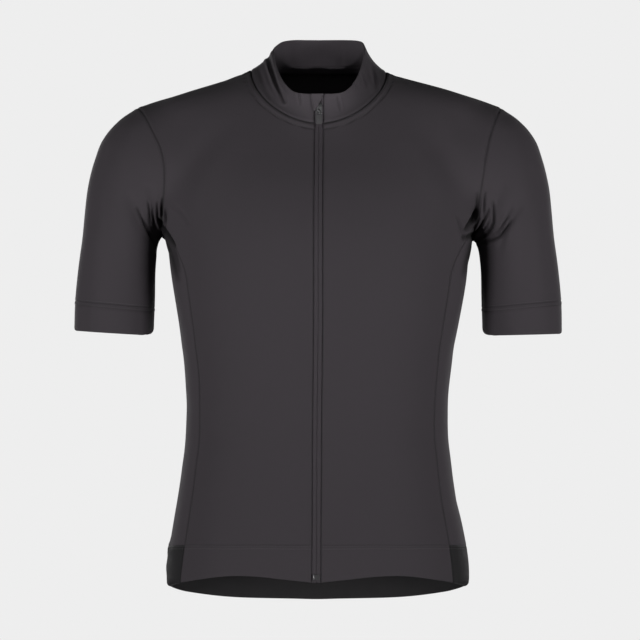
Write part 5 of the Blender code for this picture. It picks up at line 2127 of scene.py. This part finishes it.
    def slider(self) -> None:
        """Make the slider: two shield-shaped plates, the wedge, the flanges and the bridge."""
        half = self.slider_half_length
        shield = rounded_outline((
            (-3.3, -half, 1.2), (3.3, -half, 1.2), (4.2, 1.0, 2.2), (3.6, half, 1.8),
            (-3.6, half, 1.8), (-4.2, 1.0, 2.2),
        ))
        back = self.sunk + 1.2 + 0.3
        flange = rounded_outline((
            (3.0, -half + 0.3, 0.3), (3.5, -half + 0.3, 0.3), (4.0, 0.6, 0.3), (3.5, 0.6, 0.3),
        ), 4)
        wedge = rounded_outline(
            ((-0.9, half - 0.6, 0.4), (-0.35, 0.6, 0.3), (0.35, 0.6, 0.3), (0.9, half - 0.6, 0.4)),
            4,
        )
        bridge = ((0.9, -2.2), (2.6, -2.1), (3.5, -1.1), (3.6, 0), (3.5, 1.1), (2.6, 2.1), (0.9, 2.2))
        parts = [
            plate(shield, -0.2, 1.1, 0.4),
            plate(shield, -back - 1.3, -back, 0.35),
            plate(wedge, -back - 0.3, 0.1, 0.1),
            plate(flange, -0.9, 0.4, 0.2),
            plate([(-x, z) for x, z in reversed(flange)], -0.9, 0.4, 0.2),
            swept([(out, self.pull_at + up) for out, up in bridge], 1.0, 0.5),
        ]
        self.place_hard(
            "slider_body", "zip_slider", parts, self.frame(self.slider_height), self.wardrobe.body_metal,
        )

    def pull(self) -> None:
        """Make the pull: a rod, two rails round a window, and a tab with a raised face."""
        rails, tab = (1.4, 2.6), (-15.0, -4.0)
        half = 3.7
        outline = rounded_outline((
            (-half + 0.4, tab[0], 1.6), (half - 0.4, tab[0], 1.6), (half, tab[1] - 2.2, 1.5),
            (2.7, tab[1], 1.0), (-2.7, tab[1], 1.0), (-half, tab[1] - 2.2, 1.5),
        ))
        inset = rounded_outline((
            (-half + 1.4, tab[0] + 1.2, 1.0), (half - 1.4, tab[0] + 1.2, 1.0),
            (half - 1.2, tab[1] - 2.6, 1.0), (-half + 1.2, tab[1] - 2.6, 1.0),
        ))
        parts = [plate(outline, -0.45, 0.45, 0.3), plate(inset, 0.3, 0.6, 0.14)]
        for sign in (-1, 1):
            low, high = sorted((sign * rails[0], sign * rails[1]))
            parts.append(plate(rounded_outline((
                (low, tab[1] - 1.0, 0.2), (high, tab[1] - 1.0, 0.2), (high, 0.6, 0.5),
                (low, 0.6, 0.5),
            ), 4), -0.5, 0.5, 0.25))
        bm = bmesh.new()
        bmesh.ops.create_cone(
            bm, cap_ends=True, segments=20, radius1=0.6, radius2=0.6, depth=4.6,
            matrix=Matrix.Rotation(math.radians(90), 4, "Y"),
        )
        out = Matrix.Translation(Vector((0, -self.pull_out, self.pull_at)) * MM)
        self.place_hard(
            "pull_tab", "zip_pull", [*parts, finished(bm, "rod")], self.frame(self.slider_height) @ out,
            self.wardrobe.pull_metal, "zip_pull",
        )

    def end_box(self) -> None:
        """Make the box that holds the lower ends together, with its pin."""
        outline = rounded_outline((
            (-3.6, -3.0, 0.7), (3.6, -3.0, 0.7), (3.6, 3.0, 0.9), (-3.6, 3.0, 0.9),
        ))
        pin = [(-3.2, -2.7), (-2.3, -2.7), (-2.3, 2.9), (-3.2, 2.9)]
        where = self.frame(self.box_height)
        self.place_hard(
            "end_box", "zip_box", [plate(outline, -0.2, 1.2, 0.4)], where, self.wardrobe.pull_metal,
        )
        self.place_hard("end_pin", None, [plate(pin, 0.2, 1.55, 0.3)], where, self.wardrobe.stop_metal)

    def flap(self) -> Cloth:
        """Make the corner of cloth that is turned down over the top of the zip."""
        top = self.path[-1, 2] - self.flap_below_top
        rows, columns = len(self.flap_left), 4
        middle, face = self.at(np.linspace(top - self.flap_drop, top, rows))
        grid = np.repeat(middle[:, None], columns, axis=1)
        grid[..., 0] = np.linspace(self.flap_left, self.flap_right, columns, axis=-1)
        facing = np.repeat(face[:, None], columns, axis=1)
        across = np.linspace(-1, 1, columns)[None, :, None]
        grid = grid + facing * (self.flap_out - self.flap_bow * across**2)
        cut = Cut(grid, facing, steps((rows - 1, 0.8)), steps((columns - 1, 0.7)))
        borders = four_sides(*[EdgeStyle.FREE] * 4)
        piece = Cloth(
            "zip_flap", "zip_garage", cut, self.flap_cloth, borders, Creases(()), self.pattern.form,
        )
        piece.build(self.wardrobe.knit, ["collar_cloth"])
        return piece

    def build(self, repeater: LineRepeater) -> dict[str, list[Row]]:
        """Make the whole zip and list the stitches on its flap."""
        self.tapes()
        self.coils(repeater)
        self.slider()
        self.pull()
        self.end_box()
        piece = self.flap()
        return {"flap": [piece.row_beside(border, self.flap_stitch) for border in piece.borders[:3]]}


# ---------------------------------------------------------------- the studio

@dataclass(frozen=True)
class Lamp:
    """A soft rectangular light, or a round spot where it has a beam."""

    name: str
    place: tuple[float, float, float]
    aim: tuple[float, float, float]
    size: tuple[float, float]
    power: float
    beam: float = 0.0


@dataclass
class Studio:
    """Pale surroundings, a pale floor, soft lights and the camera."""

    camera_place: tuple[float, float, float] = (0.00115, -2.76, -0.278)
    lens: float = 135.0
    backdrop: float = 0.855
    ambient: float = 0.02
    floor_height: float = -1.05
    floor_radius: float = 2.3
    floor_glow: float = 0.72
    lamps: tuple[Lamp, ...] = (
        Lamp("key_right", (-2.46, -2.03, -0.85), (0, 0, -0.3), (0.8, 1.3), 82.0),
        Lamp("key_left", (2.48, -2.01, -0.80), (0, 0, -0.3), (0.8, 1.3), 80.0),
        Lamp("above", (0.0, -2.60, 0.90), (0, 0, -0.3), (1.2, 0.8), 3.0),
        Lamp("collar", (0.0, -3.00, -1.02), (0, 0.06, 0.035), (0.03, 0.03), 210.0, 2.3),
        Lamp("behind_right", (-1.6, 2.80, 0.10), (0, 0, -0.3), (0.9, 1.3), 28.0),
        Lamp("behind_left", (1.6, 2.80, 0.10), (0, 0, -0.3), (0.9, 1.3), 26.0),
    )

    def build(self) -> None:
        """Set the stage."""
        self.surroundings()
        self.floor()
        for lamp in self.lamps:
            light = bpy.data.lights.new(lamp.name, "SPOT" if lamp.beam else "AREA")
            light.energy = lamp.power
            if lamp.beam:
                light.spot_size, light.spot_blend = math.radians(lamp.beam), 1.0
                light.shadow_soft_size = lamp.size[0]
            else:
                light.shape = "RECTANGLE"
                light.size, light.size_y = lamp.size
            made = linked(f"{lamp.name}_light", light)
            made.location = lamp.place
            made.rotation_euler = self.facing(lamp.place, lamp.aim)
        camera = bpy.data.cameras.new("camera")
        camera.lens, camera.sensor_width = self.lens, 36.0
        made = linked("camera", camera)
        made.location = self.camera_place
        made.rotation_euler = (math.radians(90), 0, 0)
        bpy.context.scene.camera = made
        bpy.context.scene.view_settings.view_transform = "Standard"

    @staticmethod
    def facing(place: Sequence[float], aim: Sequence[float]) -> tuple[float, float, float]:
        """Turn a light towards a point."""
        return (Vector(aim) - Vector(place)).to_track_quat("-Z", "Y").to_euler()

    def surroundings(self) -> None:
        """Make the pale backdrop, which lights the jersey less than it shows."""
        world = bpy.data.worlds.new("surroundings")
        bpy.context.scene.world = world
        world.use_nodes = True
        tree = world.node_tree
        seen = tree.nodes.new("ShaderNodeLightPath")
        mix = tree.nodes.new("ShaderNodeMix")
        mix.inputs["A"].default_value = self.ambient
        mix.inputs["B"].default_value = self.backdrop
        tree.links.new(seen.outputs["Is Camera Ray"], mix.inputs["Factor"])
        tree.links.new(mix.outputs["Result"], tree.nodes["Background"].inputs["Strength"])
        tree.nodes["Background"].inputs["Color"].default_value = (1, 1, 1, 1)

    def floor(self) -> None:
        """Lay a round pale floor below the jersey."""
        bm = bmesh.new()
        bmesh.ops.create_circle(bm, cap_ends=True, segments=96, radius=self.floor_radius)
        mesh = finished(bm, "floor")
        mesh.transform(Matrix.Translation((0, 0, self.floor_height)))
        graph = ShaderGraph("pale_floor")
        graph.feed(graph.shader, {
            "Base Color": (0.25, 0.25, 0.25, 1), "Roughness": 0.9,
            "Emission Color": (1, 1, 1, 1), "Emission Strength": self.floor_glow,
        })
        mesh.materials.append(graph.material)
        made = linked("floor", mesh)
        made.visible_diffuse = made.visible_glossy = False


# ---------------------------------------------------------------- the whole

def sew(repeater: LineRepeater, wardrobe: Wardrobe, rows: dict[str, list[Row]]) -> None:
    """Lay every row of stitches, one piece for each kind of seam.

    Args:
        repeater: The tree that lays them.
        wardrobe: The finishes.
        rows: The rows by the name of their seam.
    """
    for name, lines in rows.items():
        if name in ("hem", "cuff"):
            repeater.lay(f"{name}_stitches", Repeat.COVERSTITCH, lines, wardrobe.cover_thread)
        else:
            repeater.lay(f"{name}_stitches", Repeat.TOPSTITCH, lines, wardrobe.thread)


def main() -> None:
    """Build the jersey and its studio."""
    logging.basicConfig(level=logging.INFO, format="%(name)s: %(message)s")
    wardrobe, patterns = Wardrobe(), cut_patterns(WornForm())
    pattern = patterns[Hand.LEFT]
    Studio().build()
    bodice, sleeves = Bodice(patterns, wardrobe), Sleeves(patterns, wardrobe)
    hems, collar = Hems(pattern, wardrobe), Collar(pattern, wardrobe)
    pockets = Pockets(pattern, wardrobe)
    for part in (bodice, sleeves, hems, collar, pockets):
        part.build()
    repeater = LineRepeater()
    whole_zip = Zip(pattern, wardrobe, bodice, hems, collar)
    groups = (
        bodice.stitches(), sleeves.stitches(), hems.stitches(), collar.stitches(),
        pockets.stitches(), whole_zip.build(repeater),
    )
    rows: dict[str, list[Row]] = {}
    for group in groups:
        for name, lines in group.items():
            rows.setdefault(name, []).extend(lines)
    sew(repeater, wardrobe, rows)


if __name__ == "__main__":
    main()
